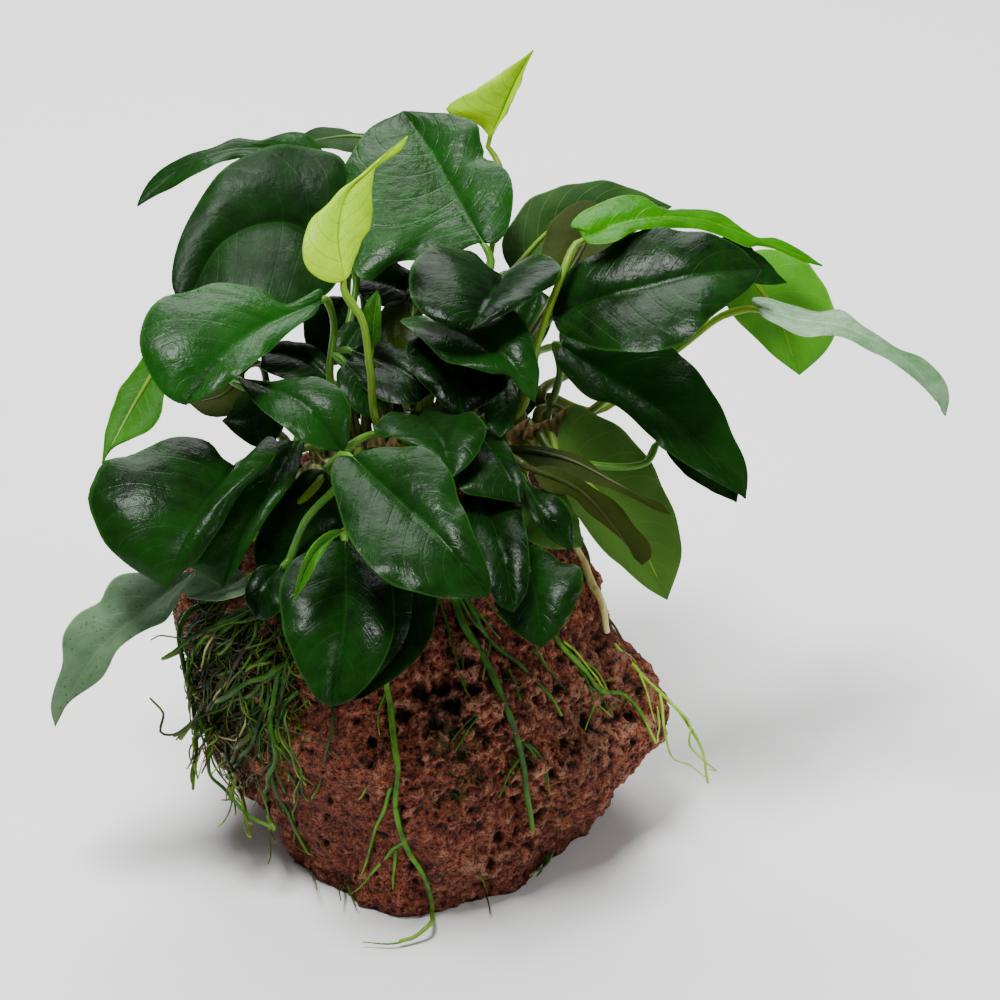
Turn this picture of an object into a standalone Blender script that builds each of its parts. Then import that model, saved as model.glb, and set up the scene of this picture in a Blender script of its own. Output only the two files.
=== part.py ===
"""Anubias growing on a lava stone, as taken out of an aquarium.

One porous red-brown stone stands on its flat underside. A creeping rhizome lies on its top, and
carries the leaves: each is one solid, a round petiole that widens into a heart-shaped blade. Thick
roots run down over the stone, and a few hang free.

Frame: metres, +Z up, X to the right and Y away from the viewer. The origin is the middle of the
stone's flat underside. Leaves, rhizome and roots were laid out on a front view of the plant, so
their points are places in that view with a depth. seen_at turns them into the real frame.
"""
import math

import bpy
import numpy as np
from mathutils import Vector, noise
from mathutils.bvhtree import BVHTree

MM = 0.001

# The front view: 1000 steps across a real 250 mm, looked at from 30 degrees above the table.
VIEW_STEPS = 1000
VIEW_WIDTH_MM = 250.0
VIEW_DISTANCE_MM = 900.0
VIEW_ELEVATION = math.radians(30)
VIEW_CENTRE_MM = np.array([17.5, 3.0, 95.0])
ACROSS = np.array([1.0, 0.0, 0.0])
UPWARD = np.array([0.0, math.sin(VIEW_ELEVATION), math.cos(VIEW_ELEVATION)])
TOWARD = np.array([0.0, -math.cos(VIEW_ELEVATION), math.sin(VIEW_ELEVATION)])
MM_PER_STEP = VIEW_WIDTH_MM / VIEW_STEPS
SIGHT_LINE_MM = 300.0

# Real sizes of the leaves, in millimetres.
BLADE_THICKNESS_MM = 0.9
BLADE_MAX_THICKNESS_TO_WIDTH = 0.25
MIDRIB_RELIEF = 1.35
SMALL_LEAF_LENGTH_MM = 34.0
BIG_LEAF_SECTIONS = 7
SMALL_LEAF_SECTIONS = 5
FIRST_SECTION = 0.14
LAST_SECTION = 0.93
PETIOLE_RADIUS_MM = 1.0
PETIOLE_TAPER = (1.15, 0.85)
PETIOLE_RISE_MM = 7.0
PETIOLE_APPROACH_MM = (5.0, 3.0)
PETIOLE_BOW = 0.08
PETIOLE_MIDDLE = 0.75
PETIOLE_END = 0.94
SHORT_PETIOLE_MM = 25.0
RING_CORNERS = 8

# Real sizes of the rhizome and the roots, in millimetres.
RHIZOME_RADIUS_MM = 4.5
RHIZOME_POINTS = 12
RHIZOME_END = 0.55
RHIZOME_SCAR = 0.85
GROWTH_GAP_MM = 0.7
ROOT_LIFT_MM = 1.4
ROOT_TAPER = 0.6
ROOT_LEAST_POINTS = 6
TUBE_BEVEL_RESOLUTION = 2
SOFT_EDGE = math.radians(50)

# Real sizes of the stone, in millimetres: level, centre of the level, and its reach from that
# centre every 30 degrees, starting at +X and turning towards the back.
STONE_LEVELS_MM = [
    (0, (-3, 8), (46, 44, 42, 42, 42, 40, 38, 36, 41, 49, 45, 42)),
    (12, (-3, 8), (54, 48, 45, 44, 46, 47, 46, 43, 44, 51, 48, 49)),
    (30, (-3, 8), (62, 55, 49, 47, 50, 54, 56, 51, 49, 52, 50, 55)),
    (45, (-4, 8), (54, 50, 48, 47, 49, 54, 57, 52, 47, 49, 47, 49)),
    (61, (-5, 9), (48, 45, 44, 43, 47, 54, 58, 52, 45, 42, 42, 42)),
    (76, (-5, 16), (42, 42, 40, 38, 42, 48, 50, 42, 38, 34, 34, 37)),
    (88, (-4, 23), (29, 30, 30, 28, 30, 34, 35, 27, 22, 19, 21, 24)),
    (93, (-3, 26), (18, 19, 17, 15, 17, 19, 20, 14, 11, 9, 11, 14)),
]
STONE_CROWN_MM = 2.0
STONE_REACH_STEP = 30.0
STONE_ROUGHNESS_MM = 3.2
STONE_LUMP_SIZE_MM = 17.0
STONE_SMALL_LUMP_MM = 7.4
STONE_RINGS = 16
STONE_SECTORS = 38

# Broad hollows in the stone's side, and crags where the depth is below zero: turn in degrees,
# then height, radius and depth in millimetres.
STONE_HOLLOWS_MM = [
    (281, 60, 9, 3.4), (262, 54, 7, 2.4), (330, 42, 8, 3.0), (232, 56, 9, 3.2), (308, 25, 8, 2.6),
    (289, 36, 8, 1.6), (306, 66, 9, 2.8), (252, 18, 8, 1.8), (20, 50, 9, 3.0), (48, 24, 8, 2.6),
    (75, 62, 9, 3.0), (100, 38, 8, 2.4), (128, 20, 8, 2.2), (150, 58, 9, 3.0), (175, 36, 8, 2.6),
    (205, 62, 8, 2.2), (60, 80, 8, 2.2), (110, 76, 9, 2.4), (215, 26, 8, 2.0),
    (352, 29, 8, -3.0), (0, 40, 7, -2.4), (180, 59, 9, -4.2), (189, 38, 8, -3.0),
    (187, 19, 8, -4.2), (190, 7, 7, -3.4), (214, 9, 7, -3.6), (222, 0, 8, -2.6),
    (238, 0, 9, -2.4), (254, 0, 8, -2.2),
]

# The rhizome lies across the top of the stone, from its old left end to its growing right end.
RHIZOME_ROUTE = [(300, 482, -6), (345, 462, -9), (400, 451, -12), (460, 444, -14),
                 (520, 438, -16), (558, 431, -22)]

# Base colours of the pieces.
COLOURS = {
    "dark": (0.022, 0.085, 0.020),
    "grey": (0.115, 0.190, 0.130),
    "light": (0.330, 0.520, 0.110),
    "young": (0.560, 0.750, 0.160),
    "lime": (0.260, 0.480, 0.070),
    "under": (0.095, 0.215, 0.035),
    "olive": (0.085, 0.095, 0.022),
    "rhizome": (0.180, 0.190, 0.060),
    "root": (0.110, 0.170, 0.040),
    "pale_root": (0.560, 0.520, 0.270),
    "stone": (0.150, 0.055, 0.042),
}
LEAF_ROUGHNESS = 0.3
STONE_ROUGH_FINISH = 0.85

# Each leaf in the front view. Midrib points are (across, down, depth towards the viewer in mm),
# from the base to the tip. The two margins run from the base to the tip between those ends.
# crown is where on the rhizome it grows, from 0 at the old end to 1 at the growing end.
LEAVES = []


def leaf(name, crown, midrib, left, right, via=(), tilt=0.8, fold=(0.15, 0.15), cup=0.12,
         underside=False, colour="dark", girth=1.0):
    """Note one leaf: tilt leans it back as it rises, fold lifts each half, cup rounds it."""
    LEAVES.append(dict(name=name, crown=crown, midrib=midrib, left=left, right=right, via=via,
                       tilt=tilt, fold=fold, cup=cup, underside=underside, colour=colour,
                       girth=girth))


leaf("leaf_front_centre", 0.34,
     [(352, 456, 26), (415, 515, 40), (450, 550, 47), (489, 597, 50)],
     [(338, 458), (331, 475), (336, 500), (345, 530), (360, 555), (385, 580), (415, 592),
      (440, 598), (470, 599)],
     [(365, 451), (385, 447), (410, 446), (430, 452), (453, 478), (462, 505), (475, 540),
      (489, 570), (491, 585)])
leaf("leaf_front_low", 0.25,
     [(345, 540, 16), (345, 620, 34), (331, 707, 38)],
     [(318, 545), (295, 560), (282, 580), (279, 605), (283, 630), (293, 655), (305, 682),
      (318, 700)],
     [(362, 548), (385, 570), (395, 600), (392, 640), (372, 680), (350, 700)])
leaf("leaf_narrow_front", 0.30,
     [(347, 529, 30), (318, 550, 41), (293, 601, 45)],
     [(330, 531), (312, 545), (300, 570)],
     [(335, 538), (322, 555), (305, 585)], colour="light", tilt=0.3, fold=(0.6, 0.6), girth=0.7)
leaf("leaf_shaded_low", 0.185,
     [(325, 470, 2), (300, 525, 6), (275, 590, 6)],
     [(308, 470), (285, 490), (262, 520), (255, 560)],
     [(340, 490), (345, 530), (325, 575), (295, 592)])
leaf("leaf_front_right_low", 0.45,
     [(415, 560, 20), (405, 640, 27), (354, 701, 27)],
     [(395, 565), (372, 590), (355, 630), (345, 670), (345, 693)],
     [(430, 575), (437, 598), (435, 623), (428, 643), (415, 661), (400, 675), (383, 686),
      (365, 697)])
leaf("leaf_broad_left", 0.08,
     [(236, 466, 12), (205, 505, 22), (180, 548, 27), (166, 590, 27)],
     [(222, 458), (210, 444), (195, 438), (170, 438), (145, 446), (125, 458), (104, 463),
      (94, 482), (88, 500), (93, 522), (105, 543), (125, 562), (145, 575)],
     [(250, 464), (262, 448), (268, 434), (278, 440), (275, 455), (262, 470), (243, 488),
      (235, 505), (220, 527), (205, 548), (195, 562), (182, 574)],
     via=[(285, 455, 0), (264, 452, 5)])
leaf("leaf_long_left", 0.134,
     [(296, 440, 0), (265, 495, 12), (238, 545, 16), (222, 588, 16)],
     [(283, 441), (270, 465), (250, 490), (238, 512), (222, 535), (205, 552), (194, 563),
      (205, 573)],
     [(304, 441), (301, 460), (295, 478), (280, 500), (265, 520), (250, 545), (238, 568)],
     via=[(322, 447, -3)])
leaf("leaf_low_left", 0.02,
     [(196, 570, -6), (140, 615, 6), (95, 655, 8), (55, 727, 0)],
     [(180, 572), (150, 573), (125, 574), (112, 580), (103, 592), (100, 600), (76, 617),
      (65, 633), (61, 665), (51, 706)],
     [(197, 580), (188, 586), (182, 594), (175, 607), (166, 620), (150, 628), (131, 639),
      (118, 650), (108, 668), (100, 680), (72, 700), (61, 712)],
     via=[(277, 528, -1), (230, 547, -4)], colour="grey")
leaf("leaf_glossy_left", 0.162,
     [(238, 377, 10), (285, 395, 18), (318, 420, 22), (343, 452, 22)],
     [(243, 388), (262, 410), (285, 428), (300, 439), (325, 450)],
     [(260, 380), (290, 380), (325, 378), (340, 390), (350, 408), (350, 425), (349, 440)],
     via=[(334, 402, -2), (285, 402, 4)])
leaf("leaf_wet_left", 0.20,
     [(322, 300, 2), (262, 328, 14), (220, 362, 22), (185, 405, 26)],
     [(321, 289), (305, 296), (285, 303), (262, 293), (240, 286),
      (215, 284), (190, 288), (165, 297), (148, 313), (141, 335), (141, 352), (147, 370),
      (163, 393), (174, 401)],
     [(316, 313), (290, 332), (262, 357), (240, 375), (225, 384), (200, 400)],
     via=[(330, 378, -4), (334, 325, -7)])
leaf("leaf_round_left", 0.225,
     [(342, 258, -22), (285, 222, -22), (225, 240, -17), (184, 308, -8)],
     [(352, 235), (348, 190), (343, 160), (320, 148), (290, 144), (262, 150), (243, 158),
      (222, 172), (200, 196), (186, 224), (174, 260), (173, 288)],
     [(335, 285), (315, 303), (280, 318), (240, 325), (205, 318)],
     via=[(346, 345, -17)], tilt=0.5)
leaf("leaf_far_left", 0.25,
     [(330, 168, -44), (262, 148, -40), (205, 157, -37), (137, 206, -34)],
     [(322, 150), (305, 133), (290, 131), (272, 138), (262, 141), (236, 139), (222, 142),
      (200, 151), (178, 160), (150, 180), (140, 197)],
     [(318, 180), (290, 176), (247, 156), (225, 161), (190, 178), (155, 196)],
     via=[(347, 330, -36)], tilt=1.3)
leaf("leaf_back_left", 0.43,
     [(420, 160, -52), (360, 138, -56), (289, 145, -58)],
     [(400, 140), (358, 134), (345, 129), (325, 127), (307, 132), (297, 139)],
     [(405, 172), (370, 156), (352, 152), (320, 148), (303, 145)], underside=True, tilt=1.2)
leaf("leaf_wet_crown", 0.55,
     [(483, 242, -14), (455, 195, -25), (428, 148, -35), (403, 111, -44)],
     [(470, 246), (455, 253), (430, 260), (400, 262), (375, 279), (362, 280), (352, 266),
      (342, 230), (337, 192), (343, 170), (350, 157), (366, 133), (382, 121), (393, 116)],
     [(494, 244), (502, 238), (509, 226), (513, 205), (512, 188), (508, 174), (495, 163),
      (484, 157), (485, 149), (481, 140), (477, 125), (460, 118), (432, 112)], tilt=0.6)
leaf("leaf_young_front", 0.40,
     [(345, 281, 20), (338, 235, 18), (345, 198, 14), (372, 167, 10), (408, 136, 6)],
     [(335, 283), (322, 280), (310, 272), (304, 262), (303, 248), (306, 232), (312, 219),
      (335, 195), (360, 177), (385, 155)],
     [(350, 275), (355, 258), (362, 240), (370, 228), (374, 212), (371, 200), (372, 182),
      (374, 171), (385, 162), (402, 149)],
     via=[(378, 424, 4), (370, 370, 14), (362, 320, 19)], colour="young", tilt=0.2,
     fold=(0.3, -0.5))
leaf("leaf_young_top", 0.62,
     [(490, 138, -46), (502, 112, -45), (515, 82, -43), (533, 50, -40)],
     [(478, 124), (460, 118), (446, 112), (447, 105), (475, 91), (498, 74), (520, 60)],
     [(495, 130), (505, 115), (514, 100), (521, 80)],
     via=[(500, 168, -46)], colour="young", tilt=0.4, fold=(0.1, 1.2), girth=0.8)
leaf("leaf_dark_centre", 0.58,
     [(501, 274, -2), (488, 300, 14), (469, 331, 22)],
     [(489, 268), (473, 252), (450, 246), (425, 252), (410, 270), (408, 285), (412, 300),
      (425, 315), (445, 325)],
     [(513, 268), (526, 256), (545, 256), (562, 270), (556, 282), (545, 290), (520, 305),
      (490, 322)], via=[(505, 345, -16), (514, 295, -13)], tilt=1.0)
leaf("leaf_ribbed_centre", 0.51,
     [(430, 318, -4), (470, 338, 8), (510, 362, 16), (535, 403, 18)],
     [(415, 316), (400, 320), (420, 338), (445, 360), (480, 370), (510, 378), (520, 390)],
     [(450, 312), (480, 322), (512, 311), (530, 335), (539, 370)],
     via=[(435, 376, -16)])
leaf("leaf_black_centre", 0.46,
     [(440, 335, -3), (455, 375, 6), (462, 417, 12)],
     [(415, 335), (405, 347), (415, 375), (430, 392), (445, 406)],
     [(470, 340), (500, 365), (510, 382), (498, 395), (480, 407)])
leaf("leaf_shaded_centre", 0.36,
     [(352, 350, -8), (390, 365, -3), (432, 393, 2)],
     [(350, 372), (372, 395), (410, 405)],
     [(372, 340), (405, 350), (425, 372)])
leaf("leaf_inner_front", 0.44,
     [(415, 412, 0), (440, 440, 18), (453, 478, 26)],
     [(395, 412), (378, 422), (372, 430), (395, 438), (420, 448), (435, 458)],
     [(440, 408), (470, 412), (486, 428), (482, 445), (470, 463)])
leaf("leaf_inner_right", 0.56,
     [(478, 432, 2), (502, 465, 16), (521, 504, 22)],
     [(462, 440), (455, 465), (460, 490), (490, 498)],
     [(490, 432), (505, 442), (515, 458), (523, 480)])
leaf("leaf_right_of_centre", 0.52,
     [(478, 492, 12), (502, 550, 28), (514, 613, 36)],
     [(462, 497), (470, 525), (482, 560), (490, 590), (500, 606)],
     [(500, 492), (518, 500), (524, 520), (529, 558), (527, 590)])
leaf("leaf_low_right", 0.60,
     [(524, 543, 14), (535, 590, 26), (541, 648, 32)],
     [(505, 555), (495, 585), (498, 610), (515, 632)],
     [(545, 550), (560, 560), (575, 566), (582, 572), (580, 595), (568, 618), (553, 638)])
leaf("leaf_slim_right", 0.66,
     [(523, 478, 8), (545, 515, 16), (573, 552, 17)],
     [(524, 500), (530, 512), (537, 525), (550, 540), (563, 547)],
     [(545, 492), (562, 500), (571, 517), (573, 540)])
leaf("leaf_small_underside", 0.82,
     [(530, 490, -4), (555, 520, 2), (583, 547, 0)],
     [(515, 505), (516, 525), (528, 540), (545, 548), (565, 549)],
     [(555, 488), (572, 505), (580, 528)], underside=True, colour="under")
leaf("leaf_big_right", 0.83,
     [(552, 316, 2), (600, 298, 8), (650, 287, 10), (700, 275, 10), (762, 269, 2)],
     [(553, 300), (560, 280), (572, 268), (590, 255), (615, 243), (640, 232), (665, 228),
      (700, 231), (725, 240), (745, 253)],
     [(560, 333), (580, 343), (610, 351), (640, 353), (660, 351), (690, 338), (712, 317),
      (735, 300), (752, 285)])
leaf("leaf_drooping_right", 0.90,
     [(560, 345, -10), (620, 385, -4), (680, 425, 2), (746, 499, 4)],
     [(556, 360), (572, 382), (592, 400), (612, 404), (645, 430), (672, 455), (715, 481),
      (735, 492)],
     [(575, 330), (620, 325), (660, 335), (683, 355), (705, 383), (732, 430), (747, 470)],
     via=[(549, 405, -15), (560, 372, -13)])
leaf("leaf_tucked_right", 0.86,
     [(664, 444, -12), (700, 470, -12), (737, 502, -10)],
     [(668, 455), (690, 478), (720, 495)],
     [(685, 440), (720, 460), (738, 485)],
     via=[(552, 452, -3), (580, 463, -3), (645, 463, -10)], tilt=1.0)
leaf("leaf_underside_right", 0.90,
     [(558, 459, -8), (604, 500, -16), (640, 545, -23), (667, 600, -25)],
     [(553, 474), (562, 493), (580, 520), (600, 547), (620, 565), (645, 587)],
     [(558, 440), (562, 420), (572, 405), (600, 415), (625, 430), (645, 458),
      (662, 485), (678, 520), (681, 550), (676, 575)],
     underside=True, colour="under", tilt=0.5)
leaf("leaf_lime_arching", 0.68,
     [(583, 238, 6), (625, 222, 2), (690, 218, -6), (755, 238, -12), (823, 266, -16)],
     [(578, 230), (571, 226), (580, 213), (598, 204), (628, 196), (645, 198), (655, 206),
      (668, 209), (682, 207), (722, 215), (745, 232), (757, 238), (775, 237), (800, 250)],
     [(588, 243), (603, 244), (618, 241), (632, 232), (650, 229), (680, 227), (720, 236),
      (735, 243), (750, 247), (758, 245), (775, 249), (805, 262)],
     via=[(517, 415, -4), (540, 335, 8), (562, 275, 8)], colour="lime", tilt=1.2)
leaf("leaf_back_right", 0.73,
     [(512, 272, -32), (555, 228, -39), (610, 205, -45), (672, 207, -48)],
     [(503, 255), (502, 240), (512, 222), (530, 201), (555, 187), (580, 182), (610, 183),
      (640, 191)],
     [(530, 285), (570, 275), (610, 250), (645, 225)], underside=True, colour="under",
     tilt=0.6)
leaf("leaf_olive_back", 0.79,
     [(560, 290, -22), (585, 245, -29), (600, 204, -34)],
     [(545, 278), (540, 258), (545, 235), (556, 217), (572, 204), (586, 201)],
     [(590, 285), (612, 262), (618, 235)], underside=True, colour="olive")
leaf("leaf_pale_right", 0.99,
     [(738, 264, -24), (775, 312, -26), (799, 375, -28)],
     [(725, 275), (722, 295), (735, 318), (755, 338), (775, 357)],
     [(755, 250), (785, 252), (812, 268), (828, 290), (836, 320), (833, 340), (818, 360)],
     via=[(600, 410, -32), (700, 305, -22)], underside=True, colour="lime")
leaf("leaf_twisted_right", 0.93,
     [(757, 307, -6), (800, 319, -2), (835, 324, 1), (870, 338, 4), (912, 366, 6),
      (946, 416, 6)],
     [(752, 299), (765, 298), (790, 305), (818, 311), (840, 310), (865, 328), (900, 348),
      (925, 360), (945, 382), (949, 398)],
     [(762, 316), (778, 325), (806, 337), (836, 336), (870, 350), (900, 368), (937, 401),
      (942, 410)],
     via=[(580, 416, -23), (622, 386, -25), (678, 349, -20), (722, 316, -12)],
     colour="grey", tilt=1.3)
leaf("leaf_small_right", 0.955,
     [(715, 240, -12), (750, 258, -14), (787, 283, -16)],
     [(730, 236), (755, 250), (775, 270)],
     [(712, 256), (735, 278), (770, 285)],
     via=[(572, 372, -29), (680, 290, -23)])
leaf("leaf_olive_rolled", 0.75,
     [(510, 450, -5), (570, 462, 2), (620, 487, 8), (671, 515, 8)],
     [(522, 446), (545, 447), (585, 458), (605, 475), (640, 496), (660, 503)],
     [(518, 462), (540, 470), (575, 478), (605, 487), (635, 499), (655, 510)],
     underside=True, colour="olive", tilt=1.0)
leaf("leaf_olive_right", 0.71,
     [(530, 470, 10), (580, 492, 10), (612, 525, 5), (642, 565, 0)],
     [(545, 490), (572, 497), (590, 515), (610, 530), (627, 545), (634, 558)],
     [(545, 466), (572, 474), (594, 488), (620, 506), (634, 525), (650, 545), (651, 557)],
     via=[(506, 452, 6)], underside=True, colour="olive")
leaf("leaf_hanging_left", 0.01,
     [(165, 355, -19), (135, 405, -15), (102, 464, -8)],
     [(150, 350), (135, 368), (120, 390), (108, 420), (104, 445)],
     [(178, 375), (165, 393), (161, 415), (150, 430), (130, 440), (110, 450)],
     via=[(250, 418, -25)], underside=True, colour="lime")
leaf("leaf_pale_inner_left", 0.11,
     [(245, 372, -15), (225, 395, -15), (190, 404, -15)],
     [(222, 378), (200, 392)],
     [(243, 398), (232, 415), (205, 415)], via=[(272, 402, -22), (262, 366, -21)], underside=True,
     colour="olive")
leaf("leaf_small_left", 0.115,
     [(275, 395, -7), (250, 415, -9), (222, 421, -10)],
     [(262, 385), (240, 392), (232, 410)],
     [(285, 425), (262, 448), (240, 438)])
leaf("leaf_grey_inner", 0.285,
     [(352, 296, -30), (330, 325, -27), (328, 366, -24)],
     [(325, 298), (306, 310), (304, 330), (308, 350)],
     [(358, 310), (357, 335), (345, 362)], via=[(366, 335, -34), (362, 292, -37)])
leaf("leaf_hidden_left", 0.175,
     [(331, 380, -17), (300, 357, -20), (262, 352, -21)],
     [(325, 355), (300, 342), (278, 342)],
     [(320, 385), (290, 380), (262, 368)])
leaf("leaf_low_dark", 0.215,
     [(282, 565, 12), (262, 590, 17), (256, 618, 17)],
     [(262, 566), (248, 580), (246, 602)],
     [(285, 585), (280, 610), (266, 620)], via=[(338, 486, 17), (306, 520, 14)])
leaf("leaf_green_inner", 0.66,
     [(500, 375, -4), (503, 405, 4), (500, 438, 10)],
     [(487, 382), (484, 405), (488, 428)],
     [(515, 385), (518, 405), (512, 428)])
leaf("leaf_shaded_right", 0.64,
     [(486, 414, -26), (510, 396, -29), (536, 385, -32)],
     [(474, 395), (485, 374), (512, 365)],
     [(500, 428), (520, 422), (538, 402)])
# Three leaves at the back, which the front view can't show: a crown has leaves all round.
leaf("leaf_rear_left", 0.33,
     [(385, 318, -38), (362, 318, -62), (345, 345, -84)],
     [(365, 308), (325, 312), (318, 335)],
     [(400, 318), (398, 330), (372, 352)], tilt=0.3)
leaf("leaf_rear_middle", 0.57,
     [(452, 300, -42), (450, 288, -62), (456, 306, -82)],
     [(430, 292), (412, 290), (425, 308)],
     [(475, 295), (492, 290), (482, 310)], tilt=0.3)
leaf("leaf_rear_right", 0.87,
     [(560, 345, -44), (590, 335, -66), (625, 362, -86)],
     [(560, 330), (590, 312), (620, 335)],
     [(560, 362), (580, 372), (605, 375)], tilt=0.5)

# Main roots in the front view. Points on the stone are given across and down only, and drop onto
# it. Points in the free air have a depth too. The radius, in mm, is that at the root's start.
ROOTS = []


def root(name, radius_mm, on_stone, free=(), colour="root"):
    """Note one root: first the points that lie on the stone, then the ones in the air."""
    ROOTS.append(dict(name=name, radius_mm=radius_mm, on_stone=on_stone, free=free,
                      colour=colour))


root("root_front", 1.1,
     [(385, 600), (384, 640), (386, 685), (391, 712), (397, 760), (399, 812), (405, 840),
      (418, 862), (429, 890), (432, 908)],
     free=[(428, 925, 2), (414, 937, 3), (400, 941, 4)])
root("root_right_thick", 1.4,
     [(452, 590), (460, 618), (480, 655), (498, 690), (508, 715), (518, 745), (524, 785),
      (530, 831)])
root("root_far_right", 0.9,
     [(548, 625), (558, 645), (582, 672), (598, 690), (622, 694)],
     free=[(643, 718, -20), (656, 743, -15)])
root("root_pale_right", 1.6,
     [(571, 548), (580, 565)],
     free=[(592, 585, -15), (602, 604, -16), (607, 632, -18)], colour="pale_root")
root("root_free_right", 0.7,
     [(612, 645)],
     free=[(628, 660, -22), (650, 684, -19), (680, 712, -15), (699, 745, -13), (708, 783, -13)])
root("root_left_long", 0.9,
     [(242, 634), (232, 660), (222, 695)],
     free=[(224, 730, -14), (231, 765, -15), (243, 800, -14), (251, 837, -12)])
root("root_left_edge", 0.9,
     [(208, 604)],
     free=[(190, 612, -9), (178, 636, -7), (184, 668, -8), (192, 700, -8), (196, 745, -8),
           (193, 789, -8)])
root("root_left_out", 0.8,
     [(256, 612)],
     free=[(230, 620, 4), (205, 630, 4), (184, 642, 3), (162, 659, 2)])
root("root_left_hook", 0.6,
     [(250, 690)],
     free=[(224, 706, -5), (200, 716, -4), (174, 736, -3), (161, 734, -3), (163, 713, -3),
           (150, 698, -3)])


def seen_at(across, down, toward_mm):
    """The real place in mm of a point of the front view, given its depth towards the viewer."""
    shrink = MM_PER_STEP * (1 - toward_mm / VIEW_DISTANCE_MM)
    centre = VIEW_STEPS / 2
    return (VIEW_CENTRE_MM + ACROSS * (across - centre) * shrink
            + UPWARD * (centre - down) * shrink + TOWARD * toward_mm)


def unit(vector):
    length = np.linalg.norm(vector, axis=-1, keepdims=True)
    return vector / np.maximum(length, 1e-9)


def at_shares(line, shares):
    """Points at the given shares of a polyline's length."""
    along = np.concatenate([[0], np.cumsum(np.linalg.norm(np.diff(line, axis=0), axis=1))])
    at = np.asarray(shares) * along[-1]
    return np.stack([np.interp(at, along, line[:, k]) for k in range(line.shape[1])], axis=1)


def smooth_curve(points, shares):
    """Points at the given shares of a smooth curve (a centripetal Catmull-Rom) through points."""
    p = np.array([list(q) for q in points], float)
    p = np.vstack([2 * p[0] - p[1], p, 2 * p[-1] - p[-2]])
    knots = np.concatenate([[0], np.cumsum(np.linalg.norm(np.diff(p, axis=0), axis=1) ** 0.5)])
    pieces = []
    for i in range(1, len(p) - 2):
        t = np.linspace(knots[i], knots[i + 1], 16, endpoint=False)[:, None]

        def blend(a, b, ta, tb):
            return (tb - t) / (tb - ta) * a + (t - ta) / (tb - ta) * b

        a1 = blend(p[i - 1], p[i], knots[i - 1], knots[i])
        a2 = blend(p[i], p[i + 1], knots[i], knots[i + 1])
        a3 = blend(p[i + 1], p[i + 2], knots[i + 1], knots[i + 2])
        b1 = blend(a1, a2, knots[i - 1], knots[i + 1])
        b2 = blend(a2, a3, knots[i], knots[i + 2])
        pieces.append(blend(b1, b2, knots[i], knots[i + 1]))
    return at_shares(np.vstack(pieces + [p[-2][None]]), shares)


def material(colour):
    """The Principled material of that colour, made once."""
    found = bpy.data.materials.get(colour)
    if found:
        return found
    made = bpy.data.materials.new(colour)
    made.use_nodes = True
    shader = made.node_tree.nodes["Principled BSDF"]
    shader.inputs["Base Color"].default_value = (*COLOURS[colour], 1)
    rough = STONE_ROUGH_FINISH if colour == "stone" else LEAF_ROUGHNESS
    shader.inputs["Roughness"].default_value = rough
    shader.inputs["Metallic"].default_value = 0.0
    return made


def add_piece(name, data, place_mm, colour):
    """One named object of the plant, with its origin where it grows from."""
    piece = bpy.data.objects.new(name, data)
    piece.location = Vector(place_mm * MM)
    piece.parent = plant
    collection.objects.link(piece)
    data.materials.append(material(colour))
    return piece


def loft(name, rings, origin_mm, last_point):
    """A closed mesh through rings of equal size (mm), from a flat cap to a single last point."""
    size = len(rings[0])
    points = [Vector((p - origin_mm) * MM) for ring in rings for p in ring]
    points.append(Vector((last_point - origin_mm) * MM))
    faces = [tuple(reversed(range(size)))]
    for level in range(len(rings) - 1):
        here = level * size
        for i in range(size):
            j = (i + 1) % size
            faces.append((here + i, here + j, here + size + j, here + size + i))
    top = (len(rings) - 1) * size
    faces += [(top + i, top + (i + 1) % size, len(points) - 1) for i in range(size)]
    mesh = bpy.data.meshes.new(name)
    mesh.from_pydata(points, [], faces)
    mesh.shade_smooth()
    mesh.set_sharp_from_angle(angle=SOFT_EDGE)
    return mesh


def tube(name, line, radii_mm, colour):
    """A round tapering tube along a line (mm): a bevelled curve with filled ends."""
    curve = bpy.data.curves.new(name, "CURVE")
    curve.dimensions = "3D"
    curve.bevel_depth = MM
    curve.bevel_resolution = TUBE_BEVEL_RESOLUTION
    curve.use_fill_caps = True
    spline = curve.splines.new("POLY")
    spline.points.add(len(line) - 1)
    for point, place, radius in zip(spline.points, line, radii_mm):
        point.co = (*((place - line[0]) * MM), 1)
        point.radius = radius
    return add_piece(name, curve, line[0], colour)


def stone_ring(height):
    """The centre of the stone and its reaches all round at one height, in mm."""
    heights = [level[0] for level in STONE_LEVELS_MM]
    centres = np.array([level[1] for level in STONE_LEVELS_MM], float)
    reaches = np.array([level[2] for level in STONE_LEVELS_MM], float)
    centre = np.array([np.interp(height, heights, column) for column in centres.T])
    return centre, np.array([np.interp(height, heights, column) for column in reaches.T])


def stone_outline(turn, height):
    """The stone's centre in mm, its reach and the direction outward, at a turn in degrees."""
    centre, reaches = stone_ring(height)
    place = turn / STONE_REACH_STEP
    k = int(place)
    t = place - k
    a, b, c, d = (reaches[(k + n) % len(reaches)] for n in (-1, 0, 1, 2))
    reach = b + 0.5 * t * (c - a + t * (2 * a - 5 * b + 4 * c - d + t * (3 * (b - c) + d - a)))
    outward = np.array([math.cos(math.radians(turn)), math.sin(math.radians(turn))])
    return centre, reach, outward


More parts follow.
